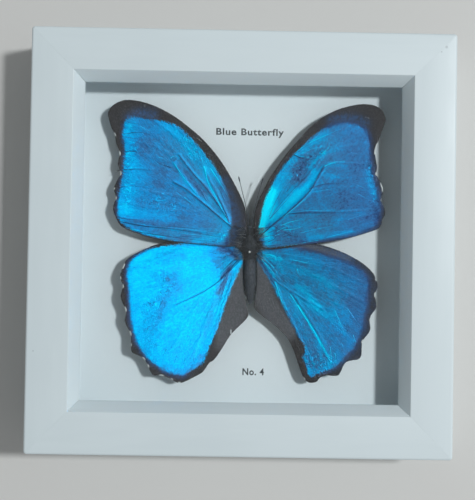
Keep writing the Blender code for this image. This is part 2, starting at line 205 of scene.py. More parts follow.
def startMaterial(name, roughness=0.5, **fixed):
    # a Principled material with fixed sockets, read in the object's own coordinates
    material = bpy.data.materials.new(name)
    material.use_nodes = True
    tree = material.node_tree
    shader = tree.nodes["Principled BSDF"]
    shader.inputs["Roughness"].default_value = roughness
    for key, value in fixed.items():
        shader.inputs[key.replace("_", " ")].default_value = value
    place = tree.nodes.new("ShaderNodeTexCoord").outputs["Object"]
    return material, tree, shader, place


def addNode(tree, kind, inputs=None, **settings):
    # a node whose inputs are numbers or other nodes' outputs
    made = tree.nodes.new("ShaderNode" + kind)
    for key, value in settings.items():
        setattr(made, key, value)
    for key, value in (inputs or {}).items():
        if isinstance(value, bpy.types.NodeSocket):
            tree.links.new(value, made.inputs[key])
        else:
            made.inputs[key].default_value = value
    return made


def noise(tree, place, scale, detail=2.0, stretch=None):
    # layered noise, drawn out along the axes whose stretch is small
    if stretch:
        place = addNode(tree, "Mapping", {"Vector": place, "Scale": stretch}).outputs[0]
    return addNode(tree, "TexNoise", {"Vector": place, "Scale": scale, "Detail": detail}).outputs["Fac"]


def attribute(tree, name):
    # a per-vertex value of the mesh
    return addNode(tree, "Attribute", attribute_name=name).outputs["Fac"]


def math2(tree, operation, a, b):
    # one sum, product or the like of two values
    return addNode(tree, "Math", {0: a, 1: b}, operation=operation).outputs[0]


def spread(tree, value, low, high, toLow=0.0, toHigh=1.0):
    # smooth step from toLow to toHigh as the value goes from low to high
    return addNode(tree, "MapRange", {"Value": value, "From Min": low, "From Max": high, "To Min": toLow,
                                      "To Max": toHigh}, interpolation_type="SMOOTHSTEP").outputs[0]


def mixColor(tree, factor, a, b):
    # a + (b - a) * factor
    return addNode(tree, "Mix", {0: factor, 6: a, 7: b}, data_type="RGBA").outputs[2]


def ramp(tree, factor, stops):
    # colour read between the stops
    made = addNode(tree, "ValToRGB", {"Fac": factor})
    band = made.color_ramp
    while len(band.elements) < len(stops):
        band.elements.new(0.5)
    for element, (position, color) in zip(band.elements, stops):
        element.position = position
        element.color = (*color, 1)
    return made.outputs["Color"]


def addBump(tree, shader, height, distance, strength=1.0):
    # tilts the shading normal by the slope of height * distance
    bump = addNode(tree, "Bump", {"Height": height, "Distance": distance, "Strength": strength})
    tree.links.new(bump.outputs[0], shader.inputs["Normal"])


moulding = {
    "faceWidth": 20 * mm,
    "bevelWidth": 4.5 * mm,
    "bevelDepth": 7 * mm,
    "lipHeight": 1 * mm,
    "wall": 12.5 * mm,
    "edgeRound": 1.2 * mm,       # outer edge of the face
    "cornerRound": 1.6 * mm,     # corner of the frame seen from the front
    "arris": 0.35 * mm,          # small round on every other edge
    "mitreGap": 0.01 * mm,
    "bevelMitreGap": 0.10 * mm,  # the paint is open a little in the fold of the bevel
    "paint": (0.675, 0.752, 0.777),
    "paintShade": (0.655, 0.732, 0.757),
    "scuffs": [((94.6, 93.6), 0.55), ((92.3, 91.3), 0.4), ((-96.2, -52), 0.4)],     # place, radius in mm
    "scuffColor": (0.34, 0.37, 0.38),
    "scuffAmount": 0.45,
    "grainDepth": 0.05 * mm,
}


def roundedProfile():
    # corners of the section as (in from the outer side, height), each replaced by an arc of its own radius
    m = moulding
    lipTop = faceZ - m["bevelDepth"]
    lipLow = lipTop - m["lipHeight"]
    sight = m["faceWidth"] + m["bevelWidth"]
    corners = [((m["wall"], 0), 0.2 * mm), ((0, 0), m["arris"]), ((0, faceZ), m["edgeRound"]),
               ((m["faceWidth"], faceZ), m["arris"]), ((sight, lipTop), m["arris"]),
               ((sight, lipLow), 0.15 * mm), ((m["wall"], lipLow), 0.1 * mm)]
    profile = []
    for k, (corner, radius) in enumerate(corners):
        corner = np.array(corner)
        before = np.array(corners[k - 1][0]) - corner
        after = np.array(corners[(k + 1) % len(corners)][0]) - corner
        before, after = before / np.linalg.norm(before), after / np.linalg.norm(after)
        half = math.acos(np.clip(before @ after, -1, 1)) / 2
        start, end = corner + before * radius / math.tan(half), corner + after * radius / math.tan(half)
        middle = corner + (before + after) / np.linalg.norm(before + after) * radius / math.sin(half)
        steps = 7 if radius > m["arris"] else 5
        t = np.linspace(0, 1, steps)[:, None]
        chord = start + (end - start) * t - middle
        profile.append(middle + chord / np.linalg.norm(chord, axis=1)[:, None] * radius)
    return np.concatenate(profile)


def railPiece(side, turn, material):
    # the section carried along the bottom side: straight, then an eighth of a turn at each corner,
    # where a point at depth u follows a circle of radius cornerRound - u, or keeps a sharp mitre if deeper
    m = moulding
    profile = roundedProfile()
    inward, height = profile[:, 0], profile[:, 1]
    bend = m["cornerRound"]
    run = np.where(inward < bend, halfSide - bend, halfSide - inward - 0.5 * mm)
    straight = np.linspace(-1, 1, 81)[:, None] * run
    arc = np.linspace(0, 1, 7)[1:, None] * math.pi / 4
    radius = np.maximum(bend - inward, 0)
    reach = np.where(inward < bend, radius * np.sin(arc), 0.5 * mm * np.linspace(0, 1, 7)[1:, None])
    drop = np.where(inward < bend, radius * np.cos(arc), 0)
    endX = run + reach
    endIn = np.where(inward < bend, bend - drop, inward)
    gap = np.where((inward > m["faceWidth"] + 0.2 * mm) & (height > faceZ - 8 * mm), m["bevelMitreGap"],
                   m["mitreGap"])
    endX[-1] -= gap
    x = np.concatenate([-endX[::-1], straight, endX])
    deep = np.concatenate([endIn[::-1], np.broadcast_to(inward, straight.shape), endIn])
    y = deep - halfSide
    z = np.broadcast_to(height, x.shape)
    cosine, sine = round(math.cos(turn)), round(math.sin(turn))
    points = np.stack([x * cosine - y * sine, x * sine + y * cosine, z], -1)
    rows, columns = x.shape
    faces = gridFaces(rows, columns)
    faces.append(list(range(columns))[::-1])
    faces.append(list(range((rows - 1) * columns, rows * columns)))
    piece = makePiece("painted_rail_" + side, points.reshape(-1, 3), faces, material,
                      ["rail_" + side])
    mesh = piece.data
    area = sum(face.normal.z * face.area for face in mesh.polygons if face.center.z > faceZ - 0.1 * mm)
    if area < 0:
        mesh.flip_normals()
    mesh.set_sharp_from_angle(angle=math.radians(60))


def whitePaint(name, grain):
    # brushed satin white over wood: faint grain along the rail, small pits, a few scuffs on the face
    m = moulding
    material, tree, shader, place = startMaterial(name, 0.42, Specular_IOR_Level=0.45)
    cloud = noise(tree, place, 14, 3)
    fibres = noise(tree, place, 260, 4, grain)
    shade = math2(tree, "ADD", math2(tree, "MULTIPLY", cloud, 0.6), math2(tree, "MULTIPLY", fibres, 0.4))
    color = mixColor(tree, spread(tree, shade, 0.36, 0.64), (*m["paintShade"], 1), (*m["paint"], 1))
    scuff = None
    for (x, y), radius in m["scuffs"]:
        spot = (x * mm, y * mm, faceZ)
        far = addNode(tree, "VectorMath", {0: place, 1: spot}, operation="DISTANCE").outputs["Value"]
        near = spread(tree, math2(tree, "ADD", far, math2(tree, "MULTIPLY", fibres, 0.5 * mm)), radius * mm,
                      radius * 1.9 * mm, 1.0, 0.0)
        scuff = near if scuff is None else math2(tree, "MAXIMUM", scuff, near)
    color = mixColor(tree, math2(tree, "MULTIPLY", scuff, m["scuffAmount"]), color, (*m["scuffColor"], 1))
    tree.links.new(color, shader.inputs["Base Color"])
    tree.links.new(spread(tree, cloud, 0.3, 0.7, 0.36, 0.5), shader.inputs["Roughness"])
    skin = noise(tree, place, 900, 2)
    height = math2(tree, "ADD", math2(tree, "MULTIPLY", fibres, 0.5), math2(tree, "MULTIPLY", skin, 0.35))
    height = math2(tree, "SUBTRACT", height, math2(tree, "MULTIPLY", scuff, 0.9))
    addBump(tree, shader, height, m["grainDepth"], 0.8)
    return material


def buildFrame():
    # four rails, each turned a quarter further; the grain runs along each
    along = whitePaint("paintAlong", (0.12, 1, 1))
    across = whitePaint("paintAcross", (1, 0.12, 1))
    for k, side in enumerate(("bottom", "right", "top", "left")):
        railPiece(side, k * math.pi / 2, along if k % 2 == 0 else across)
    print("frame: four painted rails")


filling = {
    "card": (0.82, 0.885, 0.925),
    "cardShade": (0.80, 0.865, 0.905),
    "spacer": (0.70, 0.75, 0.79),
    "board": (0.30, 0.19, 0.11),
    "boardDark": (0.17, 0.10, 0.055),
    "steel": (0.60, 0.59, 0.57),
    "ink": (0.022, 0.03, 0.036),
    "inkSpeck": (0.04, 0.05, 0.056),
    # the pin head is drawn white: a painted glint on a steel head
    "pin": (0.86, 0.87, 0.87),
    "pinShade": (0.80, 0.81, 0.81),
    "glassTint": (0.985, 0.995, 0.99),
}


def clearGlass():
    # clear pane that lets light through to the card unbent, so that it throws no shadow
    material, tree, shader, place = startMaterial("clearPane", 0.0, IOR=1.45)
    shader.inputs["Base Color"].default_value = (*filling["glassTint"], 1)
    shader.inputs["Transmission Weight"].default_value = 1
    smear = spread(tree, noise(tree, place, 28, 3), 0.45, 0.75, 0.0, 0.012)
    tree.links.new(smear, shader.inputs["Roughness"])
    through = addNode(tree, "BsdfTransparent", {"Color": (*filling["glassTint"], 1)})
    rays = addNode(tree, "LightPath").outputs
    lighting = math2(tree, "MAXIMUM", rays["Is Shadow Ray"], rays["Is Diffuse Ray"])
    choice = addNode(tree, "MixShader", {0: lighting, 1: shader.outputs[0], 2: through.outputs[0]})
    tree.links.new(choice.outputs[0], tree.nodes["Material Output"].inputs["Surface"])
    return material


def whiteCard(name, light, dark):
    # smooth coated card: slight cloudiness and very fine fibres
    material, tree, shader, place = startMaterial(name, 0.75, Specular_IOR_Level=0.3)
    cloud = noise(tree, place, 22, 4)
    fibre = noise(tree, place, 1500, 3)
    both = math2(tree, "ADD", math2(tree, "MULTIPLY", cloud, 0.7), math2(tree, "MULTIPLY", fibre, 0.3))
    tree.links.new(mixColor(tree, spread(tree, both, 0.38, 0.62), (*dark, 1), (*light, 1)),
                   shader.inputs["Base Color"])
    addBump(tree, shader, fibre, 0.02 * mm, 0.6)
    return material


def brownBoard():
    # hard fibreboard: matted fibres in two sizes
    f = filling
    material, tree, shader, place = startMaterial("brownFibreboard", 0.7, Specular_IOR_Level=0.3)
    mat = noise(tree, place, 300, 6)
    flake = noise(tree, place, 1400, 3, (1, 0.35, 1))
    both = math2(tree, "ADD", math2(tree, "MULTIPLY", mat, 0.6), math2(tree, "MULTIPLY", flake, 0.4))
    tree.links.new(mixColor(tree, spread(tree, both, 0.35, 0.65), (*f["boardDark"], 1), (*f["board"], 1)),
                   shader.inputs["Base Color"])
    addBump(tree, shader, both, 0.08 * mm, 0.7)
    return material


def plainSteel(name, roughness):
    # zinc-plated steel with rolling marks
    material, tree, shader, place = startMaterial(name, roughness, Metallic=1.0)
    marks = noise(tree, place, 900, 3, (0.06, 1, 1))
    spots = noise(tree, place, 400, 4)
    dull = tuple(0.8 * part for part in filling["steel"])
    tree.links.new(mixColor(tree, spread(tree, spots, 0.4, 0.7), (*filling["steel"], 1), (*dull, 1)),
                   shader.inputs["Base Color"])
    rough = spread(tree, marks, 0.3, 0.7, roughness - 0.08, roughness + 0.12)
    tree.links.new(rough, shader.inputs["Roughness"])
    addBump(tree, shader, marks, 0.01 * mm, 0.5)
    return material


def repaint(nodeName, material):
    # gives a node of the frame its look and leaves its mesh as it is
    node = frame["nodes"][nodeName]
    node.data.materials.clear()
    node.data.materials.append(material)


def buildFilling():
    # looks of the pieces that keep their own meshes
    f = filling
    repaint("glass_pane", clearGlass())
    repaint("backing_card", whiteCard("backingCard", f["card"], f["cardShade"]))
    spacerMaterial = whiteCard("spacerStrip", f["spacer"], tuple(0.93 * part for part in f["spacer"]))
    for side in ("top", "bottom", "left", "right"):
        repaint("spacer_" + side, spacerMaterial)
    repaint("back_board", brownBoard())
    steel = plainSteel("zincSteel", 0.36)
    for name in ["sawtooth_hanger", "hanger_nail_left", "hanger_nail_right"]:
        repaint(name, steel)
    for k in range(1, 9):
        repaint(f"framers_point_{k}", steel)
    # the steel pin is drawn in white card colours: a painted glint on its head
    repaint("insect_pin", whiteCard("pinWhiteGlint", f["pin"], f["pinShade"]))
    print("filling: glass, card, spacers, board and steel")


captions = {
    "top": {"words": "Blue Butterfly", "middle": (3.5, 54.9), "width": 33.4, "capital": 3.35, "bold": 0.026},
    "bottom": {"words": "No. 4", "middle": (7.0, -62.6), "width": 10.6, "capital": 3.35, "bold": 0.026},
    "inkHeight": 0.03 * mm,
    "letterGap": 1.12,           # spacing of the letters, of the face's own
    "faceCapital": 0.729,        # height of a capital in the built-in face
}


def caption(name):
    # plain letters in the built-in face: (point - middle) * wanted size / own size, one film of ink thick
    c = captions[name]
    curve = bpy.data.curves.new("caption", "FONT")
    curve.body = c["words"]
    curve.space_character = captions["letterGap"]
    curve.resolution_u = 4
    curve.render_resolution_u = 0
    curve.extrude = 0.5
    curve.offset = c["bold"]
    lettering = bpy.data.objects.new("caption", curve)
    bpy.context.scene.collection.objects.link(lettering)
    bpy.context.view_layer.update()
    mesh = bpy.data.meshes.new_from_object(lettering)
    bpy.data.objects.remove(lettering)
    points = np.empty(3 * len(mesh.vertices))
    mesh.vertices.foreach_get("co", points)
    points = points.reshape(-1, 3)
    low, high = points.min(axis=0), points.max(axis=0)
    size = high - low
    tall = c["capital"] * mm / captions["faceCapital"]
    points = (points - (low + high) / 2) * [c["width"] * mm / size[0], tall, captions["inkHeight"]]
    x, y = c["middle"]
    points += [x * mm, y * mm, cardTop + captions["inkHeight"] / 2]
    faces = [list(face.vertices) for face in mesh.polygons]
    return points, faces


def buildCaptions():
    # two lines of speckled ink on the card
    material, tree, shader, place = startMaterial("printedInk", 0.55)
    speck = noise(tree, place, 2500, 2)
    ink, inkSpeck = (*filling["ink"], 1), (*filling["inkSpeck"], 1)
    color = mixColor(tree, spread(tree, speck, 0.45, 0.75), ink, inkSpeck)
    tree.links.new(color, shader.inputs["Base Color"])
    for name in ("top", "bottom"):
        points, faces = caption(name)
        piece = makePiece("caption_" + name, points, faces, material, smooth=False)
        weld(piece.data)
    print("captions: two lines of plain print")


def weld(mesh):
    # joins doubled vertices, so that each shell is closed
    bm = bmesh.new()
    bm.from_mesh(mesh)
    bmesh.ops.remove_doubles(bm, verts=bm.verts, dist=1e-6)
    bmesh.ops.recalc_face_normals(bm, faces=bm.faces)
    bm.to_mesh(mesh)
    bm.free()


wingShape = {
    "columns": 560,
    "rings": 160,
    "skin": 0.10 * mm,           # half of the thickness
    "margin": 0.10 * mm,         # how ragged the scales make the rim
    "pleat": 0.045 * mm,         # fine folds that run out from the root
    "veinDark": 4.0,             # how much a vein's tone drops per millimetre of its radius
    "foldWidth": 1.35,
    # foldStrength scales the change of tone of each fold line, which paints a glint where positive and shade
    # where negative
    "foldStrength": 1.9,
    "ridge": 0.6,                # height of the ridge along a vein, of the vein's radius
    "ridgeWidth": 0.8 * mm,
    "waves": (90, 37),           # pleats in a radian about the root, for the two sets
    "foreDroop": 0.8 * mm,
    "foreSpan": 75 * mm,
    "lift": 0.15 * mm,           # half of the solid wing's thickness
    "riseStart": 6 * mm,         # from the body, where the hindwing begins to rise
    "riseWidth": 42 * mm,
    "riseLength": 14 * mm,
    "riseLeft": 2.1 * mm,        # how far the hindwing's outer margin lifts
    "riseRight": 0.8 * mm,
}
wingColor = {
    "blue": [(0.0, (0.012, 0.028, 0.09)), (0.25, (0.019, 0.082, 0.20)), (0.5, (0.005, 0.150, 0.345)),
             (0.75, (0.0, 0.228, 0.475)), (1.0, (0.0, 0.325, 0.55)), (1.3, (0.0, 0.44, 0.66))],
    "brightest": 1.3,            # the tone that the last colour stands for
    # tealShift: a painted cyan cast on the brightest reflections where "teal" is set
    "tealShift": (1.25, 1.04, 0.92),
    "edgeGlow": (0.022, 0.046, 0.115),
    "border": (0.0165, 0.0155, 0.0175),
    "borderDust": (0.042, 0.040, 0.043),
    "haze": (0.026, 0.085, 0.21),
    "brown": (0.067, 0.070, 0.079),
    "brownDust": (0.110, 0.112, 0.124),
    "fringe": (0.62, 0.66, 0.68),
    "under": (0.16, 0.105, 0.065),
    "metallic": 0.97,
    "blueRoughness": (0.48, 0.60),
    "foreLean": 5,               # degrees that the scales' free ends stand up from the wing
    "hindLean": 6,
    "bumpDepth": 0.10 * mm,
    "bumpDetail": (0.8, 0.3, 0.6, 0.5, 1.2),             # fine streaks, scales, streaks, dust, creases
    "toneDetail": (0.28, 0.28, 0.30, 0.34, 0.40),        # streaks, fine streaks, clouds, dust, specks
    "hairline": 0.10,
    "hazeOverBlue": 0.6,
    "borderRoughness": 0.72,
}

# In each wing's table, "tone" and "strokes" set how bright its blue is from place to place: painted highlight
# and painted shade for how the light falls on the blue; "teal" is a painted cyan cast on the brightest parts.
foreLeft = {
    "node": "forewing_left", "root": (2, 3), "turn": 1,
    "outline": [
        (2.0, -0.5), (2.4, 3), (2.5, 6), (2.3, 9.5), (2.1, 13.5), (1.3, 18), (-1.6, 24.7), (-7, 34.4),
        (-12.2, 42), (-19, 49.7), (-25.5, 55.3), (-33, 60.8), (-40.5, 64.9), (-47.3, 67.4), (-53, 68.5),
        (-58, 68.5), (-62.5, 66.5), (-65, 63.7), (-65.5, 61), (-64, 55.5), (-62.2, 51.8), (-61.2, 47.2),
        (-59.6, 42.6), (-60.3, 37.5), (-59, 33), (-60.6, 29.4), (-62, 25.5), (-61, 21.3), (-62.2, 16),
        (-60.8, 11.5), (-58.8, 8.2), (-56.2, 6.2), (-51.5, 4.5), (-45.5, 2.6), (-38, 1.2), (-29, 0),
        (-20, -0.8), (-10, -1.5), (-3.5, -1.6)],
    "field": [
        (-57, 58.5), (-53, 60.6), (-47, 59.6), (-42.5, 59.2), (-39, 58.6), (-33, 56.8), (-28, 53.3),
        (-22.7, 48), (-17.4, 42), (-12.6, 35.3), (-9, 29), (-6.5, 22), (-5.2, 15), (-4.9, 9), (-6, 4),
        (-6.3, -1), (-10, -1.3), (-20, -0.6), (-29, 0.2), (-38, 1.5), (-45.5, 3), (-51.5, 5), (-56, 7),
        (-58.3, 9.5), (-60.2, 13), (-60.2, 19), (-58.8, 27.5), (-57.8, 33.5), (-57.4, 39.5), (-57.2, 44.5),
        (-58.2, 50), (-58, 55)],
    "tone": 0.39,
    "grain": 1.15,
    "edgeFade": 0.15,
    "pleats": 0.25,
    "margin": [([(-58, 56), (-57.5, 44), (-58, 34), (-60, 24), (-61, 14)], 2.5, 0.8)],
    "teal": [([(-8, 5), (-14, 20), (-24, 36), (-34, 46)], 8, 0.6),
             ([(-24, 48), (-14, 33), (-9, 18)], 7, 0.8), ([(-8, 3), (-22, 2), (-36, 4)], 5, 0.8)],
    "crinkle": [([(-41, 18), (-33, 18)], 4, 1.0), ([(-55, 57), (-54, 45), (-56, 32), (-57, 20)], 3.5, 0.8),
                ([(-28, 50), (-20, 42)], 5, 0.7), ([(-9, 3), (-12, 2)], 4, 1.0)],
    "strokes": [
        ([(-55, 57), (-54.5, 50), (-54, 42), (-54.5, 33), (-55, 24), (-55.5, 14)], 4.5, 0.36),
        ([(-57, 52), (-55, 56)], 1.2, 0.2), ([(-55, 43)], 1.5, 0.2), ([(-57.5, 34)], 1, 0.25),
        ([(-51.5, 47), (-50, 42)], 3, -0.14), ([(-38, 58), (-28, 50), (-20, 42), (-13, 32)], 4.5, 0.20),
        ([(-33, 55), (-26, 49)], 1.2, 0.15), ([(-37, 56), (-31, 50), (-23, 40)], 1.4, 0.12),
        ([(-6.5, 9.5), (-12, 21), (-16.5, 29), (-18.5, 37)], 0.6, 0.28),
        ([(-6.5, 22), (-11, 29.5), (-15.5, 36)], 0.5, 0.16),
        ([(-12.5, 26), (-15, 33)], 1.5, -0.12), ([(-7.5, 23), (-10, 27)], 1, -0.2),
        ([(-48, 46), (-42, 44), (-38, 40), (-36, 34)], 5, -0.10), ([(-42, 47), (-36, 42)], 1.2, 0.12),
        ([(-27, 34), (-22, 27), (-18, 24)], 2, -0.22), ([(-12, 20), (-18, 28)], 1.6, -0.12),
        ([(-33.5, 38.5), (-28, 31), (-22, 23.5)], 0.6, 0.35), ([(-31, 33), (-26, 27)], 0.6, 0.12),
        ([(-30, 38), (-32, 35)], 1.5, -0.12), ([(-40, 27), (-30, 24)], 3, -0.08),
        ([(-48, 35), (-47, 24)], 3, 0.10),
        ([(-57, 11.5), (-45, 9.5), (-32, 8), (-20, 5)], 1.4, -0.14),
        ([(-13, 8), (-22, 9), (-30, 13)], 2, -0.08),
        ([(-34, 6.5), (-26, 6), (-18, 5.5)], 1.3, 0.18),
        ([(-55, 6.5), (-44, 3.6), (-37, 2.4)], 0.7, 0.3), ([(-36, 2.6), (-26, 1.6)], 1, -0.08),
        ([(-10, 3), (-15, 2), (-22, 1)], 1.6, 0.22), ([(-8, 8), (-8, 4)], 1.5, 0.2),
        ([(-7, 2), (-7, -1)], 1.5, -0.4), ([(-7, 20), (-6, 14), (-6, 9)], 1.5, -0.1),
        ([(-58, 15), (-48, 13.5), (-36, 12)], 2.5, 0.2), ([(-59, 19.5), (-57, 18)], 1.5, 0.2)],
    "haze": [([(-9, 29), (-6.5, 22), (-3.5, 14), (-2.5, 8), (-3, 2)], 3.0, 0.9),
             ([(-55, 60), (-50, 62), (-44, 61.5)], 2.6, 1.0)],
    "brown": [],
    "white": [
        ([(-22.5, 50.9), (-20, 49)], 0.35, 0.5), ([(-8.7, 13.8)], 0.3, 0.5), ([(-5.9, 10.6)], 0.35, 0.6),
        ([(-6.6, 6.2)], 0.35, 0.6), ([(-8.5, 3.4)], 0.3, 0.5), ([(-12.8, 1.1)], 0.3, 0.4)],
    "fringe": [
        ([(-62.2, 51.7)], 1.0, 1.2), ([(-59.6, 42.6)], 1.2, 1.3), ([(-59, 33)], 1.2, 1.2),
        ([(-62, 25.5)], 0.8, 0.8), ([(-61, 21)], 1.0, 1.0)],
    # fold lines: a raised tone is a painted glint along the fold, a lowered tone painted shade along it
    "folds": [                   # radius, change of tone, path
        (0.16, -0.40, [(-61, 34), (-54, 35), (-45, 35.4)]),
        (0.14, -0.35, [(-60, 43), (-53, 43.6), (-46, 43)]),
        (0.14, -0.35, [(-60, 26), (-54, 27), (-48, 26.4)]),
        (0.14, -0.30, [(-58, 52), (-50, 53), (-42, 51)]),
        (0.16, -0.35, [(-58, 9.5), (-46, 7.5), (-34, 6.6), (-20, 4.6), (-8, 2.6)]),
        (0.14, -0.30, [(-50, 4.8), (-38, 3.2), (-24, 1.6), (-9, 0.2)]),
        (0.14, -0.30, [(-34, 36), (-40, 38), (-44, 41)]),
        (0.12, -0.35, [(-17, 20), (-21, 27), (-24, 31)]), (0.12, -0.30, [(-8, 20), (-12, 28), (-15, 34)]),
        (0.18, 0.40, [(-33.5, 38.5), (-28, 31), (-22, 23.5)]), (0.12, 0.25, [(-31, 34), (-26, 27.5)]),
        (0.16, 0.45, [(-18.5, 37), (-16.5, 29), (-12, 21), (-6.5, 9.5)]),
        (0.14, 0.35, [(-15.5, 36), (-11, 29.5), (-6.5, 22)]), (0.12, 0.3, [(-20, 41), (-18.5, 37)]),
        (0.14, 0.35, [(-35, 40.5), (-33.5, 41.5), (-32, 40.5)]), (0.12, 0.3, [(-41, 41), (-37, 40.5)]),
        (0.14, 0.35, [(-28, 22), (-25, 19.5), (-22, 17.5)]), (0.12, -0.3, [(-28, 21), (-22, 16.5)]),
        (0.12, 0.3, [(-32, 24.5), (-27, 20.5)]), (0.10, 0.18, [(-40.5, 18.5), (-39, 19.2), (-38, 17.8)]),
        (0.10, 0.18, [(-35, 18), (-34, 18.8), (-33, 17.6)]), (0.1, 0.3, [(-39, 23.5), (-36, 23)]),
        (0.16, 0.35, [(-55, 6.6), (-46, 4.2), (-37, 2.6)]),
        (0.12, 0.3, [(-30, 4.6), (-20, 3.6), (-9, 2.4)]),
        (0.12, 0.25, [(-26, 6.2), (-16, 5.2), (-8, 4.6)]), (0.12, -0.3, [(-36, 8), (-24, 7), (-9, 6)]),
        (0.10, -0.25, [(-30, 3.2), (-18, 2.2), (-8, 1)]),
        (0.12, -0.3, [(-60, 11.6), (-54, 10.8), (-48, 10.6)]),
        (0.12, -0.25, [(-57, 50.5), (-52, 50), (-48, 51)]),
        (0.12, -0.25, [(-57, 58), (-50, 57), (-44, 57.5)]),
        (0.10, 0.3, [(-50, 56), (-46, 54), (-43, 55)]), (0.10, 0.3, [(-56.5, 44), (-53, 42.5)]),
        (0.10, -0.25, [(-57, 41), (-52, 40), (-49, 40.5)]), (0.10, 0.3, [(-57, 38), (-55, 35.5)]),
        (0.10, 0.3, [(-48, 20), (-45, 21)]), (0.10, 0.3, [(-52, 24), (-49, 25)]),
        (0.10, 0.3, [(-54, 28), (-51, 28.5)]),
        (0.10, 0.25, [(-29, 51), (-25, 49), (-23, 46)]), (0.10, -0.25, [(-27, 50), (-24, 46)])],
    "veins": [
        (0.22, [(-4.8, 7.9), (-10, 12), (-17, 17.8), (-23.8, 23.3), (-28, 26.4), (-33, 29)]),
        (0.12, [(-44, 34.8), (-52, 34.8), (-60, 33.6)]),
        (0.20, [(-6, 10.3), (-12, 19.4), (-18.2, 27.5), (-24.5, 34.2), (-30.8, 42.3)]),
        (0.07, [(-30.8, 42.3), (-40, 50), (-50, 55), (-59.5, 57)]),
        (0.12, [(-21.7, 23.1), (-28, 31), (-33.3, 38.1), (-32, 40.7)]),
        (0.07, [(-32, 40.7), (-42, 46), (-52, 48.5), (-58.5, 49)]),
        (0.07, [(-33.3, 38.1), (-43, 41), (-52, 42), (-58, 42)]),
        (0.08, [(-21.7, 21.5), (-33, 22.5), (-46, 24.5), (-60, 26)]),
        (0.08, [(-14, 15.4), (-28, 15), (-44, 16.5), (-61, 19.5)]),
        (0.10, [(-4.8, 5), (-16, 5.5), (-30, 6.5), (-45, 9), (-59.5, 11.8)]),
        (0.18, [(-6.6, 12.2), (-12.1, 23.5), (-16.2, 31.2), (-18.3, 35.7)]),
        (0.07, [(-18.3, 35.7), (-26, 45), (-36, 54), (-46, 60), (-55, 63)]),
        (0.08, [(-7.2, 23.6), (-12.2, 32.9), (-16.9, 40.6), (-25, 49.5), (-35, 57.5)])],
}
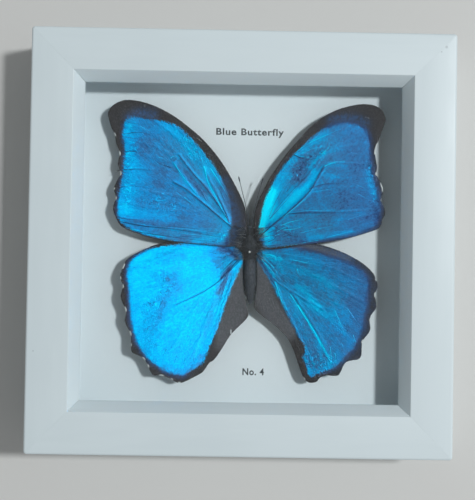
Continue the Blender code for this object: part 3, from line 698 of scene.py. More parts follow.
foreRight = {
    "node": "forewing_right", "root": (6, 3), "turn": -1,
    "outline": [
        (6.6, 0), (6.2, 3), (6, 6), (6, 9.5), (6.1, 14), (7, 18.5), (9.6, 24.8), (13, 31.5), (17, 38),
        (21.8, 44.7), (26.8, 50.6), (31.2, 55.8), (35.6, 59.8), (40, 62.9), (45.4, 65.7), (51, 67.5),
        (56.5, 68.6), (61, 68.6), (64.4, 67.8), (67.2, 65.9), (68.9, 62.5), (68.6, 59.5), (67.3, 55.8),
        (65.7, 50.9), (64.2, 45), (65.2, 38), (64.9, 34.8), (67.6, 29.4), (68.2, 26), (67.4, 22.2),
        (69, 18.2), (69.3, 15.5), (68.3, 12.8), (67.3, 9.6), (65.5, 8), (61, 6.3), (56, 4.7), (51, 3.3),
        (46, 2.2), (40, 1.2), (33, 0.2), (25, -1), (18.5, -2.2), (12, -2.5)],
    "field": [
        (8.5, 3.9), (8.2, 7.5), (9.4, 13.7), (10.8, 20.4), (13.3, 26.6), (16.8, 33.4), (20.8, 39.2),
        (24.9, 43.9), (29, 48.2), (33.6, 52.4), (39.2, 56.6), (43.8, 58.4), (49.3, 59.6), (54.6, 58.9),
        (58.6, 57.2), (60.6, 54.6), (61.6, 51), (61.8, 46.1), (62.4, 39.9), (63.3, 33.8), (65.5, 26.5),
        (67.1, 19.3), (67, 16), (65.8, 11), (63, 8.2), (57, 6), (50, 4), (40, 2), (32, 1), (25, 0),
        (18, -1.2), (12, -1.5), (9.6, 0)],
    "tone": 0.31,
    "grain": 1.2,
    "edgeFade": 0.25,
    "pleats": 0.25,
    "margin": [
        ([(42, 59), (54, 60), (60, 57), (62, 44), (63.5, 32), (67, 20), (65, 10), (50, 4), (30, 0)], 3.5, 1.2)],
    "teal": [([(10, 5), (16, 22), (26, 36), (36, 48)], 12, 1.0), ([(14, 4), (26, 8), (38, 10)], 8, 1.0),
             ([(45, 20), (50, 40)], 14, 0.4)],
    "crinkle": [([(61, 40), (62.5, 31), (64, 23)], 2.5, 1.0), ([(22, 34), (30, 38)], 4, 0.9),
                ([(38, 46), (33, 41)], 3, 0.8), ([(12, 6), (13, 1)], 3, 1.0), ([(20, 8), (24, 6)], 3, 0.8)],
    "strokes": [
        ([(54, 50), (57, 36), (58, 20), (56, 8)], 8, -0.03), ([(10, 5), (13, 2)], 3, 0.12),
        ([(9.5, 6), (10.5, 13), (12, 20), (14, 25)], 3.2, 0.8),
        ([(9, 6), (10, 13), (12.3, 20), (14, 25)], 2.2, 0.45),
        ([(14.2, 14), (15, 18)], 1.5, 0.25), ([(14, 20), (18, 27), (22, 33)], 3, 0.22),
        ([(11.5, 7), (12.5, 9)], 1.3, -0.35), ([(9.5, 2), (10, 0)], 1.2, -0.4),
        ([(18, 17), (24, 23), (29.5, 27.5)], 3, 0.28), ([(21, 20), (27, 26)], 1.2, 0.12),
        ([(15, 30), (20, 37), (25, 42)], 3, 0.24), ([(29, 45.5), (34, 50), (41, 54.5)], 1.5, 0.22),
        ([(15, 12), (22, 18.5), (28, 24.5), (33, 31), (35, 35)], 1.8, 0.42),
        ([(24, 31), (30, 31)], 1.5, -0.12),
        ([(32.3, 37), (34.5, 40), (37, 42.5), (40, 44.5)], 1.2, 0.25), ([(40, 45), (47, 46.5)], 1.5, 0.15),
        ([(33, 47), (40, 50), (46, 51)], 3.5, 0.06), ([(47, 53.5)], 2.5, -0.1),
        ([(26, 36), (30, 40)], 2.6, -0.16), ([(40, 33.5), (46, 33)], 1.6, 0.18),
        ([(42, 38.8), (50, 39)], 1.2, 0.12),
        ([(60.5, 36), (62.5, 30), (64, 24)], 1.8, 0.22), ([(52, 58), (58, 55.5)], 2, 0.05),
        ([(46, 12), (53, 14.5), (58, 15.5)], 1.8, 0.12), ([(41, 16.5), (56, 16.8)], 1, 0.12),
        ([(33, 3), (45, 5), (53, 7)], 1.2, 0.2), ([(58, 10), (64, 11.5)], 1.2, 0.12),
        ([(66, 12), (65, 18)], 2.5, -0.2), ([(61, 14)], 2, -0.12), ([(43, 24), (58, 22)], 4, -0.05),
        ([(15, 8), (20, 6), (25, 4)], 2.4, -0.14), ([(20, 10), (30, 8), (32, 3)], 4, 0.10),
        ([(12.5, -1), (13.5, 4), (14.3, 7)], 2.2, 0.42), ([(13, 12), (18, 19), (25, 27)], 1.6, 0.1)],
    "haze": [([(50, 53), (57, 38), (59, 22), (55, 8)], 8, 0.8),
             ([(42, 60.5), (48, 61.8), (55, 61.8), (60, 59.5)], 1.8, 0.8)],
    "brown": [],
    "white": [
        ([(59.2, 62.4), (61.1, 61.9)], 0.35, 0.5), ([(41.9, 62.3)], 0.4, 0.4), ([(28.6, 36.4)], 0.4, 0.4),
        ([(27.7, 51.5), (29.1, 53.2)], 0.35, 0.5)],
    "fringe": [
        ([(65.2, 49), (64.2, 45.2)], 1.0, 1.3), ([(64.9, 34.8)], 1.0, 1.2),
        ([(67.4, 30), (68.2, 27)], 0.9, 1.1),
        ([(67.4, 22.2)], 0.9, 0.7), ([(68.2, 12.5)], 0.8, 0.6)],
    "folds": [
        (0.12, -0.40, [(13, 12.7), (16, 20), (21, 29.5)]),
        (0.12, -0.40, [(13.5, 12), (19, 18.5), (24.5, 25), (31, 33.5)]),
        (0.10, -0.30, [(11.5, 12), (13.5, 18), (17.5, 27)]), (0.10, -0.25, [(21, 25), (27, 32)]),
        (0.14, 0.35, [(19, 12.5), (24, 16.5), (30, 22), (35, 28.5)]),
        (0.14, 0.25, [(25, 44.2), (32, 49.2), (41, 53.6), (48, 56.6)]),
        (0.12, 0.20, [(27, 43.6), (34, 46.6), (40, 48)]), (0.16, 0.20, [(41, 3.6), (47, 5.2), (54, 7)]),
        (0.14, 0.15, [(51, 12.4), (57, 14.4), (62, 16.4)]),
        (0.12, 0.15, [(40.5, 38.6), (47, 40), (57, 40.4)]),
        (0.12, 0.15, [(34, 25.5), (42, 27), (50, 28.6)]), (0.12, 0.2, [(23, 15), (32, 16.4), (45, 16.6)]),
        (0.16, 0.22, [(59.6, 37), (60.4, 35.2), (61.8, 33.8)]), (0.12, 0.16, [(61.2, 33), (63, 31)]),
        (0.14, 0.2, [(61, 29.6), (63.4, 27.8)]),
        (0.12, 0.18, [(62.4, 25.4), (64.6, 24.4)]), (0.14, 0.16, [(59.4, 33), (60.4, 30.6)]),
        (0.1, 0.2, [(63, 22), (65.5, 19.8)]),
        (0.12, 0.2, [(55, 29.5), (60, 27.5)]), (0.12, 0.2, [(56, 25), (61, 22.5)]),
        (0.12, 0.15, [(52, 45), (58, 44)]),
        (0.14, 0.35, [(38, 44), (41, 46.5), (42, 48.5)]), (0.12, -0.3, [(40, 45.5), (43, 47)]),
        (0.12, 0.35, [(17, 6), (21, 8.2), (25, 9)]), (0.12, 0.3, [(16, 4), (20, 5.5)]),
        (0.10, 0.3, [(20, 4), (25, 6)]),
        (0.12, -0.3, [(12, 5), (16, 6.5), (21, 6.8)]), (0.12, -0.3, [(10, 1), (14, 2.2)]),
        (0.10, 0.3, [(27, 36.5), (28.6, 37.4)]),
        (0.12, 0.3, [(22, 41), (23.5, 38)]), (0.12, 0.3, [(24, 41.5), (25, 39)]),
        (0.10, 0.25, [(20, 37.5), (23, 34)]),
        (0.16, -0.50, [(24.5, 43.5), (28.5, 41.8), (32, 41.2), (36, 42)]),
        (0.12, 0.35, [(28, 42.6), (33, 42.2)]),
        (0.14, -0.45, [(22.3, 14.6), (30, 15.2), (40, 15.4)]),
        (0.14, -0.35, [(32, 27), (40, 29.5), (48, 30)]),
        (0.14, 0.40, [(39.5, 38), (44, 40), (50, 40.8)]), (0.14, -0.40, [(9, -1), (16, -0.6), (24, 1)]),
        (0.14, -0.40, [(10, 3), (15, 4.2), (19, 3.8)]), (0.16, -0.50, [(11, 7.5), (15, 8.6), (17.5, 7.6)]),
        (0.14, -0.45, [(12.5, 0.8), (16, 2.6), (17, 5.6)]), (0.14, 0.5, [(18, -1.8), (28, 0.4), (38, 2.4)]),
        (0.12, 0.4, [(19, 9), (24, 11), (29, 12)]), (0.12, 0.4, [(20, 6.8), (26, 7.6), (30, 9.2)]),
        (0.10, -0.2, [(44, 21.5), (44.3, 19.5)]), (0.12, 0.2, [(28, 5.5), (38, 8), (46, 9.5)])],
    "veins": [
        (0.24, [(8.5, 3.3), (15.6, 9.7), (21.2, 14.4), (27.3, 20.2), (32.9, 26), (36.4, 32.3), (39.4, 37.7)]),
        (0.10, [(39.4, 37.7), (41.5, 38.8), (47.7, 39.4), (61.7, 39.4)]),
        (0.13, [(22.3, 14.6), (28.4, 15.6), (42.9, 15.8), (55, 16.6), (66, 17.3)]),
        (0.09, [(33.4, 26), (40, 27.2), (47.9, 28), (64.8, 27.6)]),
        (0.14, [(13, 11.7), (18.6, 19.5), (24.1, 25.8), (30.2, 32.1), (35, 38.5), (38, 42.5)]),
        (0.10, [(24.9, 43.7), (32.1, 48.8), (40.7, 53), (47.5, 55.7), (55.2, 57.9)]),
        (0.14, [(25.3, 43.4), (28, 41.9), (33.1, 42.8)]),
        (0.08, [(38.2, 42.6), (46, 46.5), (54, 48.5), (61.5, 49.5)]),
        (0.08, [(9.5, 1.5), (22, 1.8), (36, 3.6), (50, 7), (64.5, 10.8)]),
        (0.07, [(36.4, 34), (44, 33.6), (54, 33.8), (63.8, 33.8)]),
        (0.10, [(8.5, 6), (11.5, 15), (14.5, 24.5), (19, 33), (25, 41)])],
}
hindLeft = {
    "node": "hindwing_left", "root": (2, -5), "turn": 1,
    "outline": [
        (0.1, -3.6), (-4, -0.4), (-11, 1.8), (-19, 2.4), (-27, 1.5), (-34, 0.3), (-41, -1.1), (-46, -3.2),
        (-51, -5.8), (-54.5, -8.2), (-56.2, -10.8), (-58, -16.8), (-56.6, -21.5), (-57.5, -26.8),
        (-54.9, -33.6), (-55.3, -38.3), (-52.5, -44.5), (-52.2, -50.5), (-51.3, -53.3), (-48.3, -54.6),
        (-45.4, -56.7), (-42.6, -62), (-41, -63.9), (-37.5, -64), (-34, -65), (-29.5, -67.3), (-26.5, -67),
        (-20.5, -64), (-17.3, -61.9), (-14.5, -57.8), (-12, -56), (-8.3, -50.5), (-4.7, -44.6), (-1.5, -41),
        (2.2, -37.3), (3.8, -35), (3.9, -32.6), (3.1, -30.6), (2.7, -28), (1.8, -24), (1.1, -19),
        (0.9, -13), (1, -8)],
    "field": [
        (1.2, -8.9), (-0.7, -12.4), (-4.1, -20.9), (-7.9, -31.9), (-10.7, -40.9), (-14.6, -49.9),
        (-17.4, -57.4), (-20.4, -59.8), (-25.3, -63), (-26.7, -64.3), (-30.3, -63.8), (-35.2, -62.2),
        (-39.8, -59.3), (-43.8, -56.4), (-47.4, -52), (-49.9, -47.5), (-51.8, -41.6), (-52.8, -36.7),
        (-53.5, -29.2), (-54.1, -21.8), (-55, -15.8), (-53.6, -9.8), (-49.2, -5.7), (-41.8, -2.6),
        (-33.4, -1.4), (-25, 0), (-12, 0.5), (-4, -1.5), (0, -4.5)],
    "tone": 0.76,
    "grain": 1.4,
    "edgeFade": 0.45,
    "pleats": 0.4,
    "margin": [
        ([(-49, -5), (-55, -14), (-54, -28), (-52, -42), (-45, -55), (-36, -62), (-28, -64.5)], 5, 1.3)],
    "teal": [([(-4, -10), (-10, -20), (-14, -34)], 6, 0.8),
             ([(-30, -8), (-20, -35), (-30, -55)], 18, 0.35)],
    "crinkle": [([(-36, -17), (-37, -27)], 4, 1.0), ([(-43, -30)], 3, 0.9), ([(-6, -5), (-9, -9)], 4, 1.0),
                ([(-41, -38), (-44, -48)], 5, 0.5)],
    "strokes": [
        ([(-6, -8), (-12, -5)], 5, -0.10), ([(-5, -14), (-10, -24), (-14, -38)], 4, -0.10),
        ([(-18, -56), (-30, -58), (-42, -50)], 7, -0.05),
        ([(-47, -14), (-46, -24), (-46, -33)], 6, 0.10), ([(-52, -9.5), (-43, -6.3)], 1.8, 0.22),
        ([(-52, -16), (-52, -27)], 3, 0.08), ([(-49, -36), (-48.5, -39.5)], 2, 0.2),
        ([(-36, -17), (-31, -22), (-37, -27)], 3, -0.12), ([(-51, -12.5), (-44, -12)], 0.9, -0.14),
        ([(-24, -34), (-24, -60)], 8, -0.07), ([(-40, -4), (-28, -2.2), (-14, -3.5)], 1.5, 0.06),
        ([(-37, -6), (-27, -6)], 1.5, -0.10),
        ([(-9, -2), (-5, -4.5), (-3, -6)], 2.4, -0.60), ([(-10, -4), (-16, -5), (-22, -9)], 2.4, -0.12),
        ([(-13, -8.5), (-9, -12)], 1.6, -0.22), ([(-20, -16), (-32, -22), (-30, -13)], 2.2, -0.07),
        ([(-9.3, -8.1)], 2, -0.25), ([(-3.7, -4)], 2, -0.2), ([(-1.2, -7)], 1.3, -0.3),
        ([(-6, -12)], 1, -0.2),
        ([(-31, -1.3), (-20, -0.8)], 1, -0.2),
        ([(-5.5, -14), (-8.5, -19), (-10.5, -24)], 1.5, -0.45),
        ([(-6, -21), (-9, -29), (-12, -38)], 0.8, 0.12),
        ([(-12.5, -28), (-15.5, -39), (-18, -49)], 1.1, -0.12), ([(-19, -58), (-17, -53)], 1.5, -0.2),
        ([(-4.7, -10.5), (-9.6, -16.5)], 0.8, -0.50), ([(-36, -60), (-27, -62.5), (-20, -59)], 1.6, -0.18),
        ([(-35.5, -17), (-34.2, -18.2)], 0.5, -0.3), ([(-37, -21), (-34.5, -24), (-36.5, -27)], 0.6, -0.15),
        ([(-44.5, -29), (-43, -30.5)], 0.6, -0.25),
        ([(-36.5, -29), (-38.5, -35), (-41.5, -41)], 1.6, -0.20),
        ([(-46, -42), (-48, -40)], 1.5, -0.1), ([(-41, -48), (-38, -50)], 2, 0.07)],
    "haze": [],
    "brown": [([(2, -12), (0, -22), (-2, -32), (-5, -42)], 6, 1.0),
              ([(-1, -30), (-6, -40), (-10, -50)], 4, 0.5)],
    "white": [([(-4.3, -41.8), (-4.3, -43.6)], 0.5, 0.7)],
    "fringe": [
        ([(-56.6, -11.8)], 1.4, 1.3), ([(-57.8, -17.5)], 1.0, 0.9), ([(-56.6, -21.5)], 1.0, 1.1),
        ([(-55.2, -32.5)], 1.3, 1.3), ([(-52.6, -44)], 1.3, 1.3), ([(-52.2, -49.5)], 0.9, 1.0),
        ([(-46, -56.2)], 1.2, 1.1), ([(-43.6, -59.5)], 1.0, 1.1), ([(-37.2, -64)], 1.3, 1.1),
        ([(-32.3, -65.8)], 0.9, 0.9), ([(-28.7, -67.2)], 0.9, 0.8)],
    "folds": [
        (0.14, 0.25, [(0.4, -7), (-4, -11.6), (-9, -17)]),
        (0.22, -0.55, [(-1.5, -8), (-5.5, -12.5), (-10, -17.5)]),
        (0.18, -0.50, [(-3, -7.5), (-7, -11.5), (-10.5, -15)]),
        (0.12, -0.40, [(-6.5, -14), (-9.5, -21), (-10.5, -27)]),
        (0.10, -0.35, [(-6, -16), (-10, -28), (-13.5, -37)]),
        (0.10, -0.30, [(-4.5, -17), (-8.5, -29), (-12, -38)]),
        (0.14, -0.45, [(-36.4, -17.2), (-35.6, -18)]), (0.12, -0.4, [(-34.8, -18.4), (-34.2, -19.2)]),
        (0.12, -0.4, [(-37.6, -21.5), (-36.4, -22)]), (0.12, -0.4, [(-35.2, -22.6), (-34.4, -24)]),
        (0.12, -0.35, [(-33, -21), (-32.2, -22.2)]), (0.12, -0.4, [(-36.6, -24.6), (-35.4, -26)]),
        (0.12, -0.35, [(-38.6, -23.8), (-38, -25.2)]), (0.10, -0.35, [(-31.6, -19.4), (-30.8, -20.2)]),
        (0.10, -0.35, [(-39.4, -27), (-38.4, -27.6)]), (0.12, -0.35, [(-43.6, -29.2), (-42.6, -30.2)]),
        (0.12, -0.35, [(-45, -30.4), (-44, -31.2)]), (0.10, -0.3, [(-42, -31.6), (-41.4, -32.6)]),
        (0.10, -0.3, [(-37, -27.5), (-39, -31.5), (-40, -35)]), (0.10, -0.25, [(-36, -29), (-37, -33)]),
        (0.10, -0.25, [(-42, -35), (-44, -40)]), (0.10, -0.25, [(-45, -37), (-47, -41)]),
        (0.10, -0.25, [(-44, -41), (-45.5, -45)]), (0.10, -0.25, [(-30, -54), (-31.5, -59)]),
        (0.10, -0.25, [(-26, -55), (-27, -60)]), (0.10, -0.25, [(-35, -51), (-37.5, -56)]),
        (0.10, -0.25, [(-22, -55), (-22.5, -59)]), (0.12, -0.3, [(-12, -5), (-16, -4.4)]),
        (0.14, -0.4, [(-10.5, -11.5), (-12.4, -12)]), (0.12, 0.3, [(-8, -8.5), (-10, -9.8)]),
        (0.12, -0.4, [(-8, -3.5), (-11, -5.5)]), (0.12, -0.4, [(-7, -6), (-10, -8)])],
    "veins": [
        (0.20, [(0, -7.5), (-4.7, -12.5), (-10.1, -18), (-18.5, -23.9), (-31.4, -30.3)]),
        (0.10, [(-1, -5.5), (-14.9, -6.8), (-24.3, -6.8)]),
        (0.09, [(-2, -4.5), (-14, -3.5), (-28.4, -3.2), (-41.7, -8.6), (-54, -14)]),
        (0.08, [(-1.5, -6), (-22.2, -11.2), (-31.2, -14.3), (-44, -19.5), (-55, -24.5)]),
        (0.07, [(-18.5, -23.9), (-24, -36), (-31, -48), (-38.5, -60)]),
        (0.07, [(-10.1, -18), (-14, -31), (-19, -45), (-25, -62)]),
        (0.09, [(-1, -11), (-6, -24), (-10.5, -38), (-15.5, -52)]),
        (0.14, [(-1.6, -6.6), (-9.7, -16.1)]), (0.14, [(-2.7, -9.4), (-8, -15.5)]),
        (0.14, [(-5.4, -11.6), (-9, -24.3)])],
}
hindRight = {
    "node": "hindwing_right", "root": (6, -5), "turn": -1,
    "outline": [
        (7.9, -3.8), (12, -0.6), (19, 1.8), (27, 2.2), (33, 1.4), (38.5, 0.1), (43.5, -1.3), (49.5, -3.5),
        (54.6, -6), (58.8, -8.5), (62.3, -11.5), (64.6, -14.4), (66.3, -19), (65, -23.6), (65.7, -29.5),
        (63.3, -33.3), (62.5, -36), (62.7, -41), (59.2, -46.4), (58.7, -53), (56.8, -55), (53.8, -55.5),
        (50.8, -57), (48.2, -62.2), (45.5, -63), (42, -62.8), (39, -64), (37.3, -66), (34, -66.5),
        (31.6, -65), (30, -62), (28, -56.5), (26, -51), (23.5, -46), (20, -42), (15.5, -38),
        (10.5, -34.5), (7.3, -31.6), (6.6, -29.4), (6.9, -27), (7.4, -24), (7.8, -19), (7.8, -13),
        (7.5, -8.5)],
    "field": [
        (7.1, -3.8), (13.5, -2.2), (22, -1.4), (29, -2.3), (37.1, -4.1), (52.1, -8.5), (59.7, -13.3),
        (61.7, -17.3), (61.4, -24.8), (60.9, -29.8), (59.5, -34.8), (59.5, -39.3), (57.2, -44.8),
        (54.7, -50.3), (51.8, -52.9), (47.8, -57.4), (45.4, -59.4), (40.4, -61), (36.9, -62.8), (35, -64.1),
        (32.9, -61.6), (32.4, -58.1), (30.4, -55.2), (30.8, -53.2), (31.8, -49.7), (27.7, -43.3),
        (23.5, -35.4), (18.9, -26.5), (14.3, -18.1), (9.7, -10.7), (7.6, -6.7)],
    "tone": 0.395,
    "grain": 1.3,
    "edgeFade": 0.22,
    "pleats": 0.25,
    "margin": [
        ([(30, -2), (40, -4), (56, -10), (62, -18), (61, -32), (57, -46), (50, -55), (42, -60)], 4, 1.2)],
    "teal": [([(12, -6), (28, -14), (42, -24)], 11, 1.0), ([(20, -24), (32, -42), (40, -56)], 10, 0.8)],
    "crinkle": [([(32, -58), (40, -58)], 4, 1.0), ([(47, -36), (51, -42)], 3, 0.7),
                ([(12, -6), (16, -8)], 4, 1.0),
                ([(44, -54)], 3, 0.8)],
    "strokes": [
        ([(11, -5.5), (15, -6.5), (18, -7.5)], 2, 0.40), ([(19, -4), (20, -5)], 1.2, -0.1),
        ([(19, -11), (20.5, -13.5)], 1.2, 0.2), ([(24, -6), (32, -7), (38, -9)], 2, 0.16),
        ([(22, -9.5), (29, -12.5), (37, -15.5), (45, -20)], 1.7, 0.2), ([(24, -15), (34, -23)], 1.6, 0.12),
        ([(27, -20), (33, -25), (38, -29.5)], 1.4, 0.28), ([(12, -10), (16, -15.5)], 0.8, 0.3),
        ([(10, -9), (16, -18)], 0.9, -0.2), ([(18, -17), (30, -18.5)], 2, -0.06),
        ([(16.5, -18), (19, -25), (22, -31.5)], 0.7, 0.3), ([(22, -22), (27, -28)], 3, 0.12),
        ([(27, -24), (29.5, -29)], 1.2, 0.12), ([(28, -32), (29, -38)], 2, 0.1),
        ([(28, -29.5), (32, -35.5), (35.3, -41), (40.3, -49.5), (43, -54)], 0.6, 0.65),
        ([(38, -49), (40.5, -57), (42.5, -60)], 1.0, 0.15),
        ([(34, -29.5), (39, -32), (44, -34.5)], 2.2, 0.22),
        ([(45.5, -32.1), (48, -37), (50.6, -42.9)], 0.8, 0.22),
        ([(46, -28), (50, -32), (53, -37.5)], 1.6, 0.12),
        ([(52, -27), (56, -33), (59, -38)], 2.8, -0.16), ([(52, -39), (56, -43)], 1.6, -0.12),
        ([(53, -46)], 1.5, 0.15), ([(47, -52), (48.5, -55)], 1.2, 0.2),
        ([(43, -47), (42, -53)], 1.5, -0.12),
        ([(45.3, -57.5)], 1.2, -0.25), ([(35, -45), (34.5, -53)], 2.5, -0.10),
        ([(38, -60), (37, -59)], 1, -0.2),
        ([(34, -61), (42, -59.5), (46, -57)], 1.8, 0.2), ([(50, -10), (58, -15), (60, -22)], 4, -0.12),
        ([(31, -56), (30, -55)], 1.5, 0.25)],
    "haze": [([(48, -7), (57, -18), (58, -30), (55, -42), (49, -52)], 7, 0.7),
             ([(14, -1.5), (24, -0.5), (34, -1.5), (44, -3.8), (53, -6.5)], 2, 0.42)],
    "brown": [([(8, -12), (10, -22), (15, -32), (22, -42)], 6, 1.0),
              ([(12, -2.2), (24, -0.6), (34, -1.4), (44, -3.6), (52, -6.5)], 1.8, 0.9)],
    "white": [([(61.5, -20.1)], 0.4, 0.4), ([(41.2, -2.2)], 0.4, 0.4)],
    "fringe": [
        ([(65.4, -16.5)], 0.8, 0.7), ([(65.1, -23.6)], 1.3, 1.3), ([(62.6, -36)], 0.8, 0.6),
        ([(59.3, -46.2)], 1.2, 1.1), ([(31.2, -64.8)], 1.0, 0.9)],
    "folds": [
        (0.14, 0.34, [(24, -24), (30.2, -33.5), (35.3, -41), (40.3, -49.3), (45, -58)]),
        (0.12, -0.30, [(25, -23.8), (31.2, -33), (36.3, -40.5), (41.3, -49)]),
        (0.16, 0.40, [(16.5, -18), (19, -25), (21.5, -31)]), (0.12, -0.35, [(15.5, -17.5), (17.6, -22)]),
        (0.14, 0.20, [(45.6, -31.5), (48.5, -38), (50, -43)]),
        (0.12, 0.20, [(51.7, -30.5), (55, -35), (58.5, -39.5)]),
        (0.15, 0.35, [(43.6, -49), (44.7, -57.5)]), (0.15, 0.30, [(46, -52), (46.6, -57)]),
        (0.14, 0.40, [(54.5, -43), (56.3, -47.5)]), (0.12, 0.40, [(9.5, -7), (14, -12), (18, -17)]),
        (0.12, -0.35, [(10, -8.6), (13.4, -13), (16, -17)]),
        (0.12, 0.35, [(11, -7), (15.4, -11), (18.5, -15.5)]),
        (0.12, -0.30, [(11.5, -6), (16, -10.5), (19, -15)]), (0.12, 0.30, [(27, -11.5), (28.6, -15.6)]),
        (0.12, -0.25, [(26.4, -11.8), (28, -16)]), (0.12, 0.25, [(25, -7.5), (31, -8.6), (37, -9.4)]),
        (0.12, 0.30, [(12, -5), (16, -5.6), (19, -7.4)]), (0.12, -0.30, [(13, -6.4), (17, -7.4)]),
        (0.10, 0.30, [(32.5, -56), (33.5, -59), (33, -62)]), (0.10, 0.30, [(31.5, -54.5), (33, -55)]),
        (0.10, 0.20, [(40, -57), (38, -60.5)]), (0.10, 0.25, [(49, -47), (50.5, -52)]),
        (0.10, 0.3, [(61, -19.8), (60, -20.6)])],
    "veins": [
        (0.15, [(7.5, -6), (16.3, -17.1), (25.4, -23.4), (32.4, -27.2), (39.9, -30.9)]),
        (0.10, [(25.4, -23.9), (32.5, -34.3), (37.7, -42.7), (45.4, -57.9), (47, -60.5)]),
        (0.12, [(16.1, -16.9), (19.4, -25.5), (22, -31.4), (28, -43), (32, -52)]),
        (0.07, [(9, -4.5), (24, -5.5), (40, -9.5), (58, -17.5)]),
        (0.07, [(9, -5), (25, -10), (42, -18), (60.5, -27.5)]),
        (0.14, [(8.4, -5.9), (18.4, -17.3)]), (0.14, [(9.6, -10.8), (15.7, -17.9), (21.4, -30.9)]),
        (0.14, [(11.2, -7.5), (16.7, -13.5)])],
}


def smoothStep(value):
    # v * v * (3 - 2 v) between 0 and 1
    value = np.clip(value, 0, 1)
    return value * value * (3 - 2 * value)


def wingHeight(xy, wing):
    # forewings droop straight out from the body; hindwings lift towards their outer margin
    w = wingShape
    x, y = xy[:, 0] - bodyX, xy[:, 1]
    if wing["node"].startswith("forewing"):
        return forewingZ - w["foreDroop"] * np.hypot(x, y) / w["foreSpan"] - w["lift"]
    rise = w["riseLeft"] if wing["turn"] > 0 else w["riseRight"]
    outward = smoothStep((np.abs(x) - w["riseStart"]) / w["riseWidth"])
    return hindwingZ + w["lift"] + rise * outward * smoothStep(-y / w["riseLength"])


def wingRelief(xy, wing):
    # a low ridge along each vein, and fine pleats: sine of the angle seen from the root
    w = wingShape
    relief = np.zeros(len(xy))
    for radius, path in wing["veins"]:
        route = smoothPath(np.array(path) * mm, 3 * len(path))
        ridge = w["ridge"] * radius * mm * np.exp(-(pathDistance(xy, route) / w["ridgeWidth"]) ** 2)
        relief = np.maximum(relief, ridge)
    gap = xy - np.array(wing["root"]) * mm
    angle = np.arctan2(gap[:, 1], gap[:, 0])
    reach = np.hypot(gap[:, 0], gap[:, 1])
    fine, coarse = w["waves"]
    pleats = np.sin(angle * fine + 3 * np.sin(reach / (9 * mm))) * np.sin(angle * coarse + reach / (21 * mm))
    return relief + wing["pleats"] * w["pleat"] * (1 + pleats) * smoothStep(reach / (20 * mm))


def wingValues(xy, wing):
    # what the scales' material reads at each place: all lengths in millimetres
    flat = xy / mm
    fieldLoop = smoothPath(wing["field"], 4 * len(wing["field"]), closed=True)
    # the base tone and the strokes are painted highlight and painted shade of the blue, as it is lit
    tone = wing["tone"] + brush(flat, wing["strokes"])
    for radius, path in wing["veins"]:
        route = smoothPath(path, 3 * len(path))
        gap = pathDistance(flat, route)
        # a painted highlight in a band 0.9 mm beside each vein, and painted shade on the vein itself
        tone += 3 * radius**2 * (np.exp(-((gap - 0.9) / 0.4) ** 2) - np.exp(-(gap / 0.5) ** 2))
    gap = flat - wing["root"]
    angle = np.arctan2(gap[:, 1], gap[:, 0] * wing["turn"] * -1)
    reach = np.hypot(gap[:, 0], gap[:, 1])
    flow = np.stack([angle * 42, reach / 7, np.full(len(flat), wing["tone"] * 9)], -1)
    lean = wingColor["foreLean"] if wing["node"].startswith("forewing") else wingColor["hindLean"]
    lift = reach * math.tan(math.radians(lean)) * mm / wingColor["bumpDepth"]
    rim = smoothPath(wing["outline"], 4 * len(wing["outline"]), closed=True)
    fromRim = pathDistance(flat, np.vstack([rim, rim[:1]]))
    fringe = brush(flat, wing["fringe"]) * smoothStep((0.75 - fromRim) / 0.35)
    edge = fieldDepth(flat, fieldLoop)
    margin = np.clip(brush(flat, wing["margin"]), 0, 1)
    tone -= wing["edgeFade"] * margin * (1 - smoothStep((edge + 0.5) / 2.2))
    teal, crinkle = (np.clip(brush(flat, wing[key]), 0, 1) for key in ("teal", "crinkle"))
    return {"tone": tone, "edge": edge, "haze": brush(flat, wing["haze"]), "teal": teal, "crinkle": crinkle,
            "grain": np.full(len(flat), wing["grain"]), "margin": margin, "brown": brush(flat, wing["brown"]),
            "white": np.maximum(brush(flat, wing["white"]), fringe), "flow": flow, "lift": lift}


